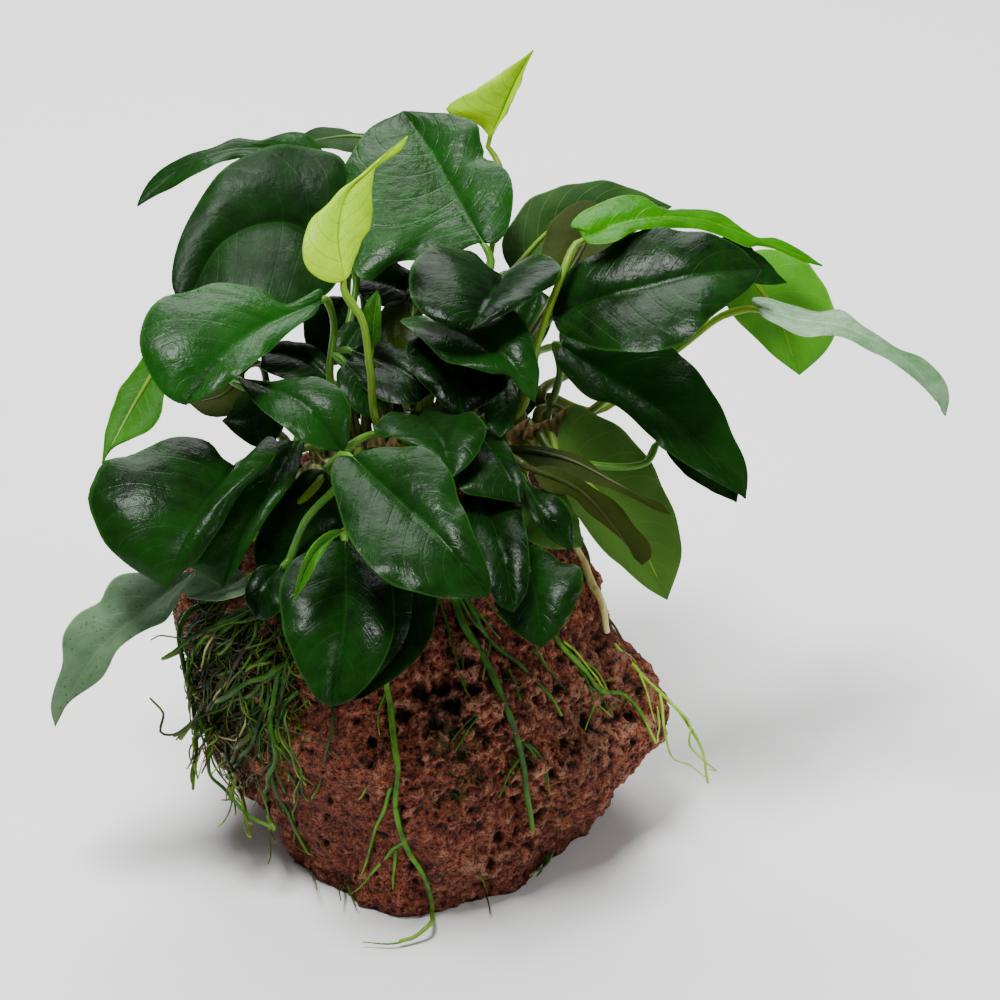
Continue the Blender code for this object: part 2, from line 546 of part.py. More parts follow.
def stone_point(turn, height):
    """One place in mm on the stone, at a turn in degrees and a height in mm."""
    centre, reach, outward = stone_outline(turn, height)
    spot = Vector((*(centre + reach * outward), height))
    lump = noise.noise(spot / STONE_LUMP_SIZE_MM) + 0.5 * noise.noise(spot / STONE_SMALL_LUMP_MM)
    reach += STONE_ROUGHNESS_MM * lump
    for hollow_turn, hollow_height, radius, depth in STONE_HOLLOWS_MM:
        middle, middle_reach, way = stone_outline(hollow_turn, hollow_height)
        away = (Vector((*(middle + middle_reach * way), hollow_height)) - spot).length
        reach -= depth * math.exp(-(away / radius) ** 2)
    return np.array([*(centre + reach * outward), height])


def make_stone():
    """The lava stone: a loft through the outlines that its levels have."""
    top = STONE_LEVELS_MM[-1][0]
    heights = [top * i / (STONE_RINGS - 1) for i in range(STONE_RINGS)]
    turns = [360 * i / STONE_SECTORS for i in range(STONE_SECTORS)]
    rings = [[stone_point(turn, height) for turn in turns] for height in heights]
    crown = np.array([*STONE_LEVELS_MM[-1][1], top + STONE_CROWN_MM])
    origin = np.zeros(3)
    return add_piece("stone", loft("stone", rings, origin, crown), origin, "stone")


def make_rhizome():
    """The creeping stem, ringed by the scars of its old leaves."""
    line = smooth_curve([seen_at(*p) for p in RHIZOME_ROUTE], np.linspace(0, 1, RHIZOME_POINTS))
    girth = [1 if i % 2 else RHIZOME_SCAR for i in range(RHIZOME_POINTS)]
    girth[0] = girth[-1] = RHIZOME_END
    return tube("rhizome", line, [RHIZOME_RADIUS_MM * g for g in girth], "rhizome")


def rhizome_point(crown):
    return smooth_curve([seen_at(*p) for p in RHIZOME_ROUTE], [crown])[0]


def petiole_line(row, base, along, upper, count):
    """The leaf stalk in mm, off the rhizome and into the blade's base: places and directions."""
    foot = rhizome_point(row["crown"])
    axis = unit(rhizome_point(min(1, row["crown"] + 0.05))
                - rhizome_point(max(0, row["crown"] - 0.05)))
    via = [seen_at(*p) for p in row["via"]]
    aim = (via[0] if via else base) - foot
    aim = unit(unit(aim - (aim @ axis) * axis) + np.array([0, 0, 0.5]))
    start = foot + aim * (RHIZOME_RADIUS_MM + GROWTH_GAP_MM)
    ease = min(1, np.linalg.norm((via[-1] if via else start) - base) / SHORT_PETIOLE_MM)
    rise = start + aim * PETIOLE_RISE_MM * ease
    back, under = PETIOLE_APPROACH_MM
    approach = base - (along * back + upper * under) * ease
    if not via:
        bow = PETIOLE_BOW * np.linalg.norm(base - rise)
        via = [0.5 * (rise + approach) + np.array([0, 0, bow])]
    points = [start, rise] + via + [approach, base]
    shares = np.array([*np.linspace(0, PETIOLE_MIDDLE, count - 1), PETIOLE_END])
    line = smooth_curve(points, shares)
    step = 1 - PETIOLE_END
    ahead = smooth_curve(points, shares + step)
    return line, unit(ahead - smooth_curve(points, np.maximum(shares - step, 0)))


def blade_grid(row, shares, steps):
    """The blade in mm: for each share of its length a line across it, from margin to margin."""
    middle = smooth_curve(row["midrib"], shares)
    base = row["midrib"][0][:2]
    tip = row["midrib"][-1][:2]
    halves = []
    for side, fold in zip(("left", "right"), row["fold"]):
        margin = smooth_curve([base] + row[side] + [tip], shares)
        reach = np.hypot(*(margin - middle[:, :2]).T) * MM_PER_STEP
        rise = (middle[:, 1] - margin[:, 1]) * MM_PER_STEP
        halves.append((margin, middle[:, 2] - row["tilt"] * rise + fold * reach, reach))
    lines = []
    for step in steps:
        margin, depth, reach = halves[1 if step > 0 else 0]
        a = abs(step)
        place = middle[:, :2] * (1 - a) + margin * a
        toward = middle[:, 2] * (1 - a) + depth * a + row["cup"] * reach * 4 * a * (1 - a)
        lines.append([seen_at(x, y, w) for (x, y), w in zip(place, toward)])
    return np.transpose(np.array(lines), (1, 0, 2))


def blade_rings(grid, above):
    """Rings round the blade's cross-sections: thin margins and a thicker midrib."""
    rings = []
    for (left, left_mid, middle, right_mid, right), normal in zip(grid, above):
        width = np.linalg.norm(right - left)
        thickness = min(BLADE_THICKNESS_MM, width * BLADE_MAX_THICKNESS_TO_WIDTH)
        lift = normal * thickness / 2
        rings.append([left, left_mid + lift, middle + lift * MIDRIB_RELIEF, right_mid + lift,
                      right, right_mid - lift, middle - lift * MIDRIB_RELIEF, left_mid - lift])
    return rings


def petiole_rings(line, tangents, radii, side, along):
    """Round rings across the stalk. Followed down from the blade, the first corner stays left."""
    side = unit(side - (side @ along) * along)
    before = along
    rings = []
    for place, tangent, radius in zip(line[::-1], tangents[::-1], radii[::-1]):
        turn = Vector(before).rotation_difference(Vector(tangent))
        side = np.array(turn @ Vector(side))
        before = tangent
        over = np.cross(side, tangent)
        angles = [2 * math.pi * k / RING_CORNERS for k in range(RING_CORNERS)]
        rings.append([place - radius * (math.cos(a) * side - math.sin(a) * over)
                      for a in angles])
    return rings[::-1]


def make_leaf(row):
    """One leaf as a loft from its round stalk into its flat blade, ending in its tip."""
    trial = blade_grid(row, np.linspace(0, 1, 12), (0,))[:, 0]
    length = np.linalg.norm(np.diff(trial, axis=0), axis=1).sum()
    sections = BIG_LEAF_SECTIONS if length > SMALL_LEAF_LENGTH_MM else SMALL_LEAF_SECTIONS
    turns = np.linspace(FIRST_SECTION, LAST_SECTION, sections) * math.pi
    grid = blade_grid(row, 0.5 - 0.5 * np.cos(turns), (-1, -0.5, 0, 0.5, 1))
    base = seen_at(*row["midrib"][0])
    tip = seen_at(*row["midrib"][-1])
    across = unit(grid[:, -1] - grid[:, 0])
    along = unit(np.gradient(np.vstack([base[None], grid[:, 2]]), axis=0))
    above = unit(np.cross(across, along[1:]))
    upper = above[0] if (np.mean(above @ TOWARD) > 0) != row["underside"] else -above[0]
    count = 3 + len(row["via"])
    stalk, tangents = petiole_line(row, base, along[0], upper, count)
    radii = PETIOLE_RADIUS_MM * row["girth"] * np.linspace(*PETIOLE_TAPER, count)
    rings = petiole_rings(stalk, tangents, radii, across[0], along[1])
    rings += blade_rings(grid, above)
    return add_piece(row["name"], loft(row["name"], rings, stalk[0], tip), stalk[0],
                     row["colour"])


def on_stone(tree, across, down, lift_mm):
    """Where the line of sight through a place of the front view meets the stone, lifted off."""
    near = Vector(seen_at(across, down, SIGHT_LINE_MM) * MM)
    far = Vector(seen_at(across, down, -SIGHT_LINE_MM) * MM)
    hit, normal, _, _ = tree.ray_cast(near, (far - near).normalized())
    if hit is None:
        hit, normal, _, _ = tree.find_nearest(Vector(seen_at(across, down, 0) * MM))
    return np.array(hit) / MM + unit(np.array(normal) + TOWARD * 0.4) * lift_mm


def make_root(row, tree):
    """One thick root, laid over the stone and then hanging free."""
    lift = row["radius_mm"] + ROOT_LIFT_MM
    points = [on_stone(tree, x, y, lift) for x, y in row["on_stone"]]
    points += [seen_at(*p) for p in row["free"]]
    count = max(ROOT_LEAST_POINTS, len(points) + 2)
    line = smooth_curve(points, np.linspace(0, 1, count))
    radii = row["radius_mm"] * np.linspace(1, ROOT_TAPER, count)
    return tube(row["name"], line, radii, row["colour"])


for old in list(bpy.data.objects):
    bpy.data.objects.remove(old)
collection = bpy.data.collections.new("anubias on stone")
bpy.context.scene.collection.children.link(collection)
plant = bpy.data.objects.new("anubias_on_stone", None)
collection.objects.link(plant)

stone = make_stone()
stone_tree = BVHTree.FromPolygons([v.co.copy() for v in stone.data.vertices],
                                  [tuple(p.vertices) for p in stone.data.polygons])
make_rhizome()
for leaf_row in LEAVES:
    make_leaf(leaf_row)
for root_row in ROOTS:
    make_root(root_row, stone_tree)
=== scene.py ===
# %% [markdown]
# # Anubias on a lava stone: the finish of every surface
# The plant is an epiphyte: a creeping stem, the rhizome, holds on to a porous red stone with its
# roots, and carries thick waxy leaves on long stalks. The solids of the part give each piece its
# place. This script gives each one its real surface: blades that are half a millimetre thick,
# with veins and wavy margins, a stone full of pores, and the thin roots that no solid stands for.
# We work in the same frame as the part, in metres, with Z up and the stone's underside at Z = 0.

# %% Load the frame
import math

import bpy
import numpy as np
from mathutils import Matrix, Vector, noise
from mathutils.bvhtree import BVHTree


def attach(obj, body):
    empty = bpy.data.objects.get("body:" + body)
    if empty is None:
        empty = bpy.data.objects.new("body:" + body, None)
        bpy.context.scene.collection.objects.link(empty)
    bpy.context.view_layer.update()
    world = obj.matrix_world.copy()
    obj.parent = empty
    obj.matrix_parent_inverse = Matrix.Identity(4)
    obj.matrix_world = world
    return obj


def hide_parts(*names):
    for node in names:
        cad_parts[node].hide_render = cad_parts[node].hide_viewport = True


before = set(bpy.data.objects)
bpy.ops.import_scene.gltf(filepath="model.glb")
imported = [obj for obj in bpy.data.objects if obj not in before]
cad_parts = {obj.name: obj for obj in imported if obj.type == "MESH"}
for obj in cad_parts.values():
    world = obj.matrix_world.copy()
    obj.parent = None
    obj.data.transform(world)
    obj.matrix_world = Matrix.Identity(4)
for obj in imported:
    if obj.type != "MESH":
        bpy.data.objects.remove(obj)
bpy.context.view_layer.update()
# Bends drawn from vector noise start at a random place, so we fix its seed.
noise.seed_set(7)

# %% [markdown]
# ## One front view for all shapes
# The leaves were laid out on a front view of the plant, so a leaf's outline is a list of places
# in that view. It is 1000 steps wide, a step is a quarter of a millimetre at the plant's middle,
# and the view looks down at 30 degrees. seen_at turns a place with a depth into the real frame,
# so the camera that looks along this view sees each outline where it was laid out.

# %% The front view
MM = 0.001
VIEW_STEPS = 1000
VIEW_WIDTH_MM = 250.0
VIEW_DISTANCE_MM = 900.0
VIEW_ELEVATION = math.radians(30)
VIEW_CENTRE_MM = np.array([17.5, 3.0, 95.0])
ACROSS = np.array([1.0, 0.0, 0.0])
UPWARD = np.array([0.0, math.sin(VIEW_ELEVATION), math.cos(VIEW_ELEVATION)])
TOWARD = np.array([0.0, -math.cos(VIEW_ELEVATION), math.sin(VIEW_ELEVATION)])
MM_PER_STEP = VIEW_WIDTH_MM / VIEW_STEPS


def seen_at(across, down, toward_mm):
    """Real places in mm of points of the front view, given their depth towards the viewer."""
    across, down, toward = np.broadcast_arrays(*(np.asarray(v, float)
                                                 for v in (across, down, toward_mm)))
    shrink = MM_PER_STEP * (1 - toward / VIEW_DISTANCE_MM)
    centre = VIEW_STEPS / 2
    return (VIEW_CENTRE_MM + ACROSS * ((across - centre) * shrink)[..., None]
            + UPWARD * ((centre - down) * shrink)[..., None] + TOWARD * toward[..., None])


print("the view's middle is at", seen_at(500, 500, 0), "mm")

# %% [markdown]
# ## The camera
# The camera stands on the front view's own line of sight, 0.9 m away, and looks down at 30
# degrees. A long lens keeps the perspective calm, as in a picture taken of a plant for a
# catalogue.

# %% Camera
camera_data = bpy.data.cameras.new("front view")
camera_data.sensor_width = 36.0
camera_data.lens = camera_data.sensor_width * VIEW_DISTANCE_MM / VIEW_WIDTH_MM
camera = bpy.data.objects.new("front view", camera_data)
camera.location = Vector((VIEW_CENTRE_MM + TOWARD * VIEW_DISTANCE_MM) * MM)
camera.rotation_euler = Vector(-TOWARD).to_track_quat("-Z", "Y").to_euler()
bpy.context.scene.collection.objects.link(camera)
bpy.context.scene.camera = camera
print("camera at", tuple(round(v, 3) for v in camera.location), "lens", camera_data.lens, "mm")


# %% Colours and nodes
def linear(hex_colour):
    """A colour as the shaders want it, from its sRGB hex value."""
    parts = [int(hex_colour[i:i + 2], 16) / 255 for i in (1, 3, 5)]
    return (*[p / 12.92 if p <= 0.04045 else ((p + 0.055) / 1.055) ** 2.4 for p in parts], 1)


def add_node(tree, kind, inputs=(), **settings):
    """Add one shader node: its own settings, and its inputs as values or as other outputs."""
    made = tree.nodes.new("ShaderNode" + kind)
    for key, value in settings.items():
        setattr(made, key, value)
    for key, value in dict(inputs).items():
        if isinstance(value, bpy.types.NodeSocket):
            tree.links.new(value, made.inputs[key])
        else:
            made.inputs[key].default_value = value
    return made


def new_material(name):
    """An empty node material and its tree."""
    made = bpy.data.materials.new(name)
    made.use_nodes = True
    made.node_tree.nodes.clear()
    return made, made.node_tree


def point_values(tree):
    """Sockets of the three values that a mesh point carries, and of its place in the object."""
    place = add_node(tree, "Attribute", attribute_name="place").outputs["Vector"]
    values = add_node(tree, "SeparateXYZ", {0: place}).outputs
    return (*values, add_node(tree, "TexCoord").outputs["Object"])


print("white is", linear("#ffffff"))

# %% [markdown]
# ## Smooth lines and closed meshes
# Almost everything on this plant is one of two forms: a thin sheet between two margins, or a
# round shoot that tapers. Both start from a few given points with a smooth curve through
# them. The curve is a centripetal Catmull-Rom spline, because it passes through its points and
# never loops. We gather the faces of a piece in lists and make one mesh of them, with named
# values on its points. The materials read those values: where on the leaf we are, which face, and
# how light.


# %% Lines through points
CURVE_POINTS = 16
END_ROUNDING = 0.6


def unit(vector):
    """Vectors of length 1 that point the same way."""
    length = np.linalg.norm(vector, axis=-1, keepdims=True)
    return vector / np.maximum(length, 1e-9)


def at_shares(line, shares):
    """Points at the given shares of a polyline's length."""
    along = np.concatenate([[0], np.cumsum(np.linalg.norm(np.diff(line, axis=0), axis=1))])
    at = np.asarray(shares) * along[-1]
    return np.stack([np.interp(at, along, line[:, k]) for k in range(line.shape[1])], axis=1)


def smooth_curve(points, shares):
    """Points at the given shares of a smooth curve through given points."""
    p = np.array([list(q) for q in points], float)
    p = np.vstack([2 * p[0] - p[1], p, 2 * p[-1] - p[-2]])
    knots = np.concatenate([[0], np.cumsum(np.linalg.norm(np.diff(p, axis=0), axis=1) ** 0.5)])
    pieces = []
    for i in range(1, len(p) - 2):
        t = np.linspace(knots[i], knots[i + 1], CURVE_POINTS, endpoint=False)[:, None]

        def blend(a, b, ta, tb):
            return (tb - t) / (tb - ta) * a + (t - ta) / (tb - ta) * b

        a1 = blend(p[i - 1], p[i], knots[i - 1], knots[i])
        a2 = blend(p[i], p[i + 1], knots[i], knots[i + 1])
        a3 = blend(p[i + 1], p[i + 2], knots[i + 1], knots[i + 2])
        b1 = blend(a1, a2, knots[i - 1], knots[i + 1])
        b2 = blend(a2, a3, knots[i], knots[i + 2])
        pieces.append(blend(b1, b2, knots[i], knots[i + 1]))
    return at_shares(np.vstack(pieces + [p[-2][None]]), shares)


def length_of(line):
    """The length of a polyline."""
    return np.linalg.norm(np.diff(line, axis=0), axis=1).sum()


print("a test curve is", round(length_of(smooth_curve([(0, 0, 0), (3, 4, 0), (6, 0, 0)],
                                                      np.linspace(0, 1, 20))), 2), "mm long")


# %% One mesh from many sheets and shoots
class Piece:
    """Faces gathered in millimetres, with the values that the materials read."""

    def __init__(self, name):
        self.name = name
        self.points, self.faces, self.finish = [], [], []
        self.place, self.face_side, self.count = [], [], 0

    def add(self, points, faces, finish=0, place=None, face_side=1.0):
        """Add points (n, 3) and faces that count from 0; finish is the material's number."""
        points = np.asarray(points, float).reshape(-1, 3)
        self.points.append(points)
        self.faces += [[i + self.count for i in face] for face in faces]
        self.finish += [finish] * len(faces)
        self.place.append(np.zeros((len(points), 3)) if place is None else place)
        self.face_side.append(np.full(len(points), face_side, float))
        self.count += len(points)

    def build(self, finishes, slot, replaces=(), smooth_degrees=60):
        """Make the object, its named values and its materials, and tell the frame about it."""
        mesh = bpy.data.meshes.new(self.name)
        mesh.from_pydata((np.vstack(self.points) * MM).tolist(), [], self.faces)
        for finish in finishes:
            mesh.materials.append(finish)
        mesh.polygons.foreach_set("material_index", self.finish)
        place = mesh.attributes.new("place", "FLOAT_VECTOR", "POINT")
        place.data.foreach_set("vector", np.vstack(self.place).ravel())
        side = mesh.attributes.new("face_side", "FLOAT", "POINT")
        side.data.foreach_set("value", np.concatenate(self.face_side))
        mesh.shade_smooth()
        mesh.set_sharp_from_angle(angle=math.radians(smooth_degrees))
        made = bpy.data.objects.new(self.name, mesh)
        bpy.context.scene.collection.objects.link(made)
        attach(made, "root")
        if replaces:
            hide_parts(*replaces)
        return made


def closed_sheet(rows, columns):
    """Faces of a thin sheet: its upper grid of points, its lower one, and the rim between."""
    at = np.arange(rows * columns).reshape(rows, columns)
    quads = np.stack([at[:-1, :-1], at[:-1, 1:], at[1:, 1:], at[1:, :-1]], axis=2).reshape(-1, 4)
    rim = np.concatenate([at[0, :-1], at[:-1, -1], at[-1, :0:-1], at[:0:-1, 0]])
    other = np.roll(rim, -1)
    edge = np.stack([rim, rim + at.size, other + at.size, other], axis=1)
    return np.vstack([quads, (quads + at.size)[:, ::-1], edge])


def shoot(line, radii, corners=8):
    """A round tapering shoot along a line, with rounded ends: its points and faces."""
    line = np.asarray(line, float)
    radii = np.broadcast_to(radii, len(line)).astype(float)
    tangents = unit(np.gradient(line, axis=0))
    side = np.cross(tangents[0], (0, 0, 1))
    if np.linalg.norm(side) < 0.1:
        side = np.cross(tangents[0], (1, 0, 0))
    angles = np.linspace(0, 2 * math.pi, corners, endpoint=False)
    rings = []
    for place, tangent, radius in zip(line, tangents, radii):
        side = unit(side - (side @ tangent) * tangent)
        over = np.cross(tangent, side)
        rings.append(place + radius * (np.outer(np.cos(angles), side)
                                       + np.outer(np.sin(angles), over)))
    points = np.vstack(rings + [line[:1] - tangents[:1] * radii[0] * END_ROUNDING,
                                line[-1:] + tangents[-1:] * radii[-1] * END_ROUNDING])
    faces = []
    for level in range(len(line) - 1):
        here = level * corners
        for i in range(corners):
            j = (i + 1) % corners
            faces.append((here + i, here + j, here + corners + j, here + corners + i))
    first, last = len(line) * corners, len(line) * corners + 1
    top = (len(line) - 1) * corners
    for i in range(corners):
        j = (i + 1) % corners
        faces.append((j, i, first))
        faces.append((top + i, top + j, last))
    return points, faces


def shoot_place(line, corners, tone=0.0):
    """For a shoot's points: the turn round it, the share along it, and its tone."""
    count = len(line)
    turn = np.tile(np.linspace(-1, 1, corners, endpoint=False), count)
    share = np.repeat(np.linspace(0, 1, count), corners)
    place = np.stack([turn, share, np.full(turn.shape, tone)], axis=1)
    return np.vstack([place, [0, 0, tone], [0, 1, tone]])


test_shoot = shoot([(0, 0, 0), (0, 0, 5), (0, 1, 9)], [1, 0.8, 0.5])
print("a short shoot has", len(test_shoot[0]), "points and", len(test_shoot[1]), "faces")

# %% [markdown]
# ## The plant's plan: every leaf and root
# These are the leaves of the part, in the same front view and with the same numbers, because this
# script can't read the part's own file. Only long_left has a wider left margin here, to close a
# gap. A leaf is three lines: its midrib, and a margin on each side. That is how a botanist
# measures a blade, and it gives a heart-shaped base, a drip tip and a bend without any sculpting.
# The last nine leaves and three roots have no solid: the leaves fill the shaded heart of the
# crown. No two leaves of a crown have the same green. Old ones near the stone are nearly black,
# and those in the open are fresher. So each row also has a tone, from -1 for the darkest to 1 for
# the lightest, on top of the finish that it shares with its kind. The leaves that lie deep in the
# crown's shade get tones near -1, which is painted shade.

# %% The rhizome, from its old left end to its growing right end
RHIZOME_RADIUS_MM = 4.5
RHIZOME_ROUTE = [(300, 482, -6), (345, 462, -9), (400, 451, -12), (460, 444, -14),
                 (520, 438, -16), (558, 431, -22)]


def rhizome_point(crown):
    """The place on the rhizome's middle line, from 0 at the old end to 1 at the growing end."""
    return smooth_curve([seen_at(*p) for p in RHIZOME_ROUTE], [crown])[0]


rhizome_length = length_of(np.array([rhizome_point(s) for s in np.linspace(0, 1, 20)]))
print("the rhizome is", round(rhizome_length), "mm long")

# %% The leaves
LEAVES = []


def leaf(name, crown, midrib, left, right, via=(), tilt=0.8, fold=(0.15, 0.15),
         underside=False, colour="dark", girth=1.0, tone=0.0, look=None):
    """Note one leaf: tilt leans it back as it rises, fold lifts each half, look is its finish."""
    LEAVES.append(dict(name=name, crown=crown, midrib=midrib, left=left, right=right, via=via,
                       tilt=tilt, fold=fold, underside=underside, colour=colour, girth=girth,
                       tone=tone, look=look or colour))


leaf("front_centre", 0.34,
     [(352, 456, 26), (415, 515, 40), (450, 550, 47), (489, 597, 50)],
     [(338, 458), (331, 475), (336, 500), (345, 530), (360, 555), (385, 580), (415, 592),
      (440, 598), (470, 599)],
     [(365, 451), (385, 447), (410, 446), (430, 452), (453, 478), (462, 505), (475, 540),
      (489, 570), (491, 585)], tone=0.1)
leaf("front_low", 0.25,
     [(345, 540, 16), (345, 620, 34), (331, 707, 38)],
     [(318, 545), (295, 560), (282, 580), (279, 605), (283, 630), (293, 655), (305, 682),
      (318, 700)],
     [(362, 548), (385, 570), (395, 600), (392, 640), (372, 680), (350, 700)], tone=-0.1)
leaf("narrow_front", 0.30,
     [(347, 529, 30), (318, 550, 41), (293, 601, 45)],
     [(330, 531), (312, 545), (300, 570)],
     [(335, 538), (322, 555), (305, 585)], colour="light", tilt=0.3, fold=(0.6, 0.6), girth=0.7)
leaf("shaded_low", 0.185,
     [(325, 470, 2), (300, 525, 6), (275, 590, 6)],
     [(308, 470), (285, 490), (262, 520), (255, 560)],
     [(340, 490), (345, 530), (325, 575), (295, 592)], tone=-0.6)
leaf("front_right_low", 0.45,
     [(415, 560, 20), (405, 640, 27), (354, 701, 27)],
     [(395, 565), (372, 590), (355, 630), (345, 670), (345, 693)],
     [(430, 575), (437, 598), (435, 623), (428, 643), (415, 661), (400, 675), (383, 686),
      (365, 697)], tone=-0.45)
leaf("broad_left", 0.08,
     [(236, 466, 12), (205, 505, 22), (180, 548, 27), (166, 590, 27)],
     [(222, 458), (210, 444), (195, 438), (170, 438), (145, 446), (125, 458), (104, 463),
      (94, 482), (88, 500), (93, 522), (105, 543), (125, 562), (145, 575)],
     [(250, 464), (262, 448), (268, 434), (278, 440), (275, 455), (262, 470), (243, 488),
      (235, 505), (220, 527), (205, 548), (195, 562), (182, 574)],
     via=[(285, 455, 0), (264, 452, 5)])
leaf("long_left", 0.134,
     [(296, 440, 0), (265, 495, 12), (238, 545, 16), (222, 588, 16)],
     [(276, 442), (260, 465), (238, 490), (224, 512), (208, 535), (194, 550), (186, 562),
      (202, 575)],
     [(304, 441), (301, 460), (295, 478), (280, 500), (265, 520), (250, 545), (238, 568)],
     via=[(322, 447, -3)], tone=0.6)
leaf("low_left", 0.02,
     [(196, 570, -6), (140, 615, 6), (95, 655, 8), (55, 727, 0)],
     [(180, 572), (150, 573), (125, 574), (112, 580), (103, 592), (100, 600), (76, 617),
      (65, 633), (61, 665), (51, 706)],
     [(197, 580), (188, 586), (182, 594), (175, 607), (166, 620), (150, 628), (131, 639),
      (118, 650), (108, 668), (100, 680), (72, 700), (61, 712)],
     via=[(277, 528, -1), (230, 547, -4)], colour="grey")
leaf("glossy_left", 0.162,
     [(238, 377, 10), (285, 395, 18), (318, 420, 22), (343, 452, 22)],
     [(243, 388), (262, 410), (285, 428), (300, 439), (325, 450)],
     [(260, 380), (290, 380), (325, 378), (340, 390), (350, 408), (350, 425), (349, 440)],
     via=[(334, 402, -2), (285, 402, 4)], tone=0.5)
leaf("wet_left", 0.20,
     [(322, 300, 2), (262, 328, 14), (220, 362, 22), (185, 405, 26)],
     [(321, 289), (305, 296), (285, 303), (262, 293), (240, 286),
      (215, 284), (190, 288), (165, 297), (148, 313), (141, 335), (141, 352), (147, 370),
      (163, 393), (174, 401)],
     [(316, 313), (290, 332), (262, 357), (240, 375), (225, 384), (200, 400)],
     via=[(330, 378, -4), (334, 325, -7)], tone=0.6, look="wax")
leaf("round_left", 0.225,
     [(342, 258, -22), (285, 222, -22), (225, 240, -17), (184, 308, -8)],
     [(352, 235), (348, 190), (343, 160), (320, 148), (290, 144), (262, 150), (243, 158),
      (222, 172), (200, 196), (186, 224), (174, 260), (173, 288)],
     [(335, 285), (315, 303), (280, 318), (240, 325), (205, 318)],
     via=[(346, 345, -17)], tilt=0.5, look="matt")
leaf("far_left", 0.25,
     [(330, 168, -44), (262, 148, -40), (205, 157, -37), (137, 206, -34)],
     [(322, 150), (305, 133), (290, 131), (272, 138), (262, 141), (236, 139), (222, 142),
      (200, 151), (178, 160), (150, 180), (140, 197)],
     [(318, 180), (290, 176), (247, 156), (225, 161), (190, 178), (155, 196)],
     via=[(347, 330, -36)], tilt=1.3, tone=0.35)
leaf("back_left", 0.43,
     [(420, 160, -52), (360, 138, -56), (289, 145, -58)],
     [(400, 140), (358, 134), (345, 129), (325, 127), (307, 132), (297, 139)],
     [(405, 172), (370, 156), (352, 152), (320, 148), (303, 145)], underside=True, tilt=1.2,
     tone=-0.4)
leaf("wet_crown", 0.55,
     [(483, 242, -14), (455, 195, -25), (428, 148, -35), (403, 111, -44)],
     [(470, 246), (455, 253), (430, 260), (400, 262), (375, 279), (362, 280), (352, 266),
      (342, 230), (337, 192), (343, 170), (350, 157), (366, 133), (382, 121), (393, 116)],
     [(494, 244), (502, 238), (509, 226), (513, 205), (512, 188), (508, 174), (495, 163),
      (484, 157), (485, 149), (481, 140), (477, 125), (460, 118), (432, 112)], tilt=0.6,
     tone=0.3, look="wax")
leaf("young_front", 0.40,
     [(345, 281, 20), (338, 235, 18), (345, 198, 14), (372, 167, 10), (408, 136, 6)],
     [(335, 283), (322, 280), (310, 272), (304, 262), (303, 248), (306, 232), (312, 219),
      (335, 195), (360, 177), (385, 155)],
     [(350, 275), (355, 258), (362, 240), (370, 228), (374, 212), (371, 200), (372, 182),
      (374, 171), (385, 162), (402, 149)],
     via=[(378, 424, 4), (370, 370, 14), (362, 320, 19)], colour="young", tilt=0.2,
     fold=(0.3, -0.5))
leaf("young_top", 0.62,
     [(490, 138, -46), (502, 112, -45), (515, 82, -43), (533, 50, -40)],
     [(478, 124), (460, 118), (446, 112), (447, 105), (475, 91), (498, 74), (520, 60)],
     [(495, 130), (505, 115), (514, 100), (521, 80)],
     via=[(500, 168, -46)], colour="young", tilt=0.4, fold=(0.1, 1.2), girth=0.8)
leaf("dark_centre", 0.58,
     [(501, 274, -2), (488, 300, 14), (469, 331, 22)],
     [(489, 268), (473, 252), (450, 246), (425, 252), (410, 270), (408, 285), (412, 300),
      (425, 315), (445, 325)],
     [(513, 268), (526, 256), (545, 256), (562, 270), (556, 282), (545, 290), (520, 305),
      (490, 322)], via=[(505, 345, -16), (514, 295, -13)], tilt=1.0, tone=-0.55)
leaf("ribbed_centre", 0.51,
     [(430, 318, -4), (470, 338, 8), (510, 362, 16), (535, 403, 18)],
     [(415, 316), (400, 320), (420, 338), (445, 360), (480, 370), (510, 378), (520, 390)],
     [(450, 312), (480, 322), (512, 311), (530, 335), (539, 370)],
     via=[(435, 376, -16)], tone=0.5)
# A tone near -1 here is painted shade: the leaf lies deep in the crown.
leaf("black_centre", 0.46,
     [(440, 335, -3), (455, 375, 6), (462, 417, 12)],
     [(415, 335), (405, 347), (415, 375), (430, 392), (445, 406)],
     [(470, 340), (500, 365), (510, 382), (498, 395), (480, 407)], tone=-0.95)
leaf("shaded_centre", 0.36,
     [(352, 350, -8), (390, 365, -3), (432, 393, 2)],
     [(350, 372), (372, 395), (410, 405)],
     [(372, 340), (405, 350), (425, 372)], tone=-0.75)
leaf("inner_front", 0.44,
     [(415, 412, 0), (440, 440, 18), (453, 478, 26)],
     [(395, 412), (378, 422), (372, 430), (395, 438), (420, 448), (435, 458)],
     [(440, 408), (470, 412), (486, 428), (482, 445), (470, 463)])
leaf("inner_right", 0.56,
     [(478, 432, 2), (502, 465, 16), (521, 504, 22)],
     [(462, 440), (455, 465), (460, 490), (490, 498)],
     [(490, 432), (505, 442), (515, 458), (523, 480)], tone=-0.35)
leaf("right_of_centre", 0.52,
     [(478, 492, 12), (502, 550, 28), (514, 613, 36)],
     [(462, 497), (470, 525), (482, 560), (490, 590), (500, 606)],
     [(500, 492), (518, 500), (524, 520), (529, 558), (527, 590)], tone=-0.5)
leaf("low_right", 0.60,
     [(524, 543, 14), (535, 590, 26), (541, 648, 32)],
     [(505, 555), (495, 585), (498, 610), (515, 632)],
     [(545, 550), (560, 560), (575, 566), (582, 572), (580, 595), (568, 618), (553, 638)],
     tone=-0.1)
leaf("slim_right", 0.66,
     [(523, 478, 8), (545, 515, 16), (573, 552, 17)],
     [(524, 500), (530, 512), (537, 525), (550, 540), (563, 547)],
     [(545, 492), (562, 500), (571, 517), (573, 540)], tone=-0.3)
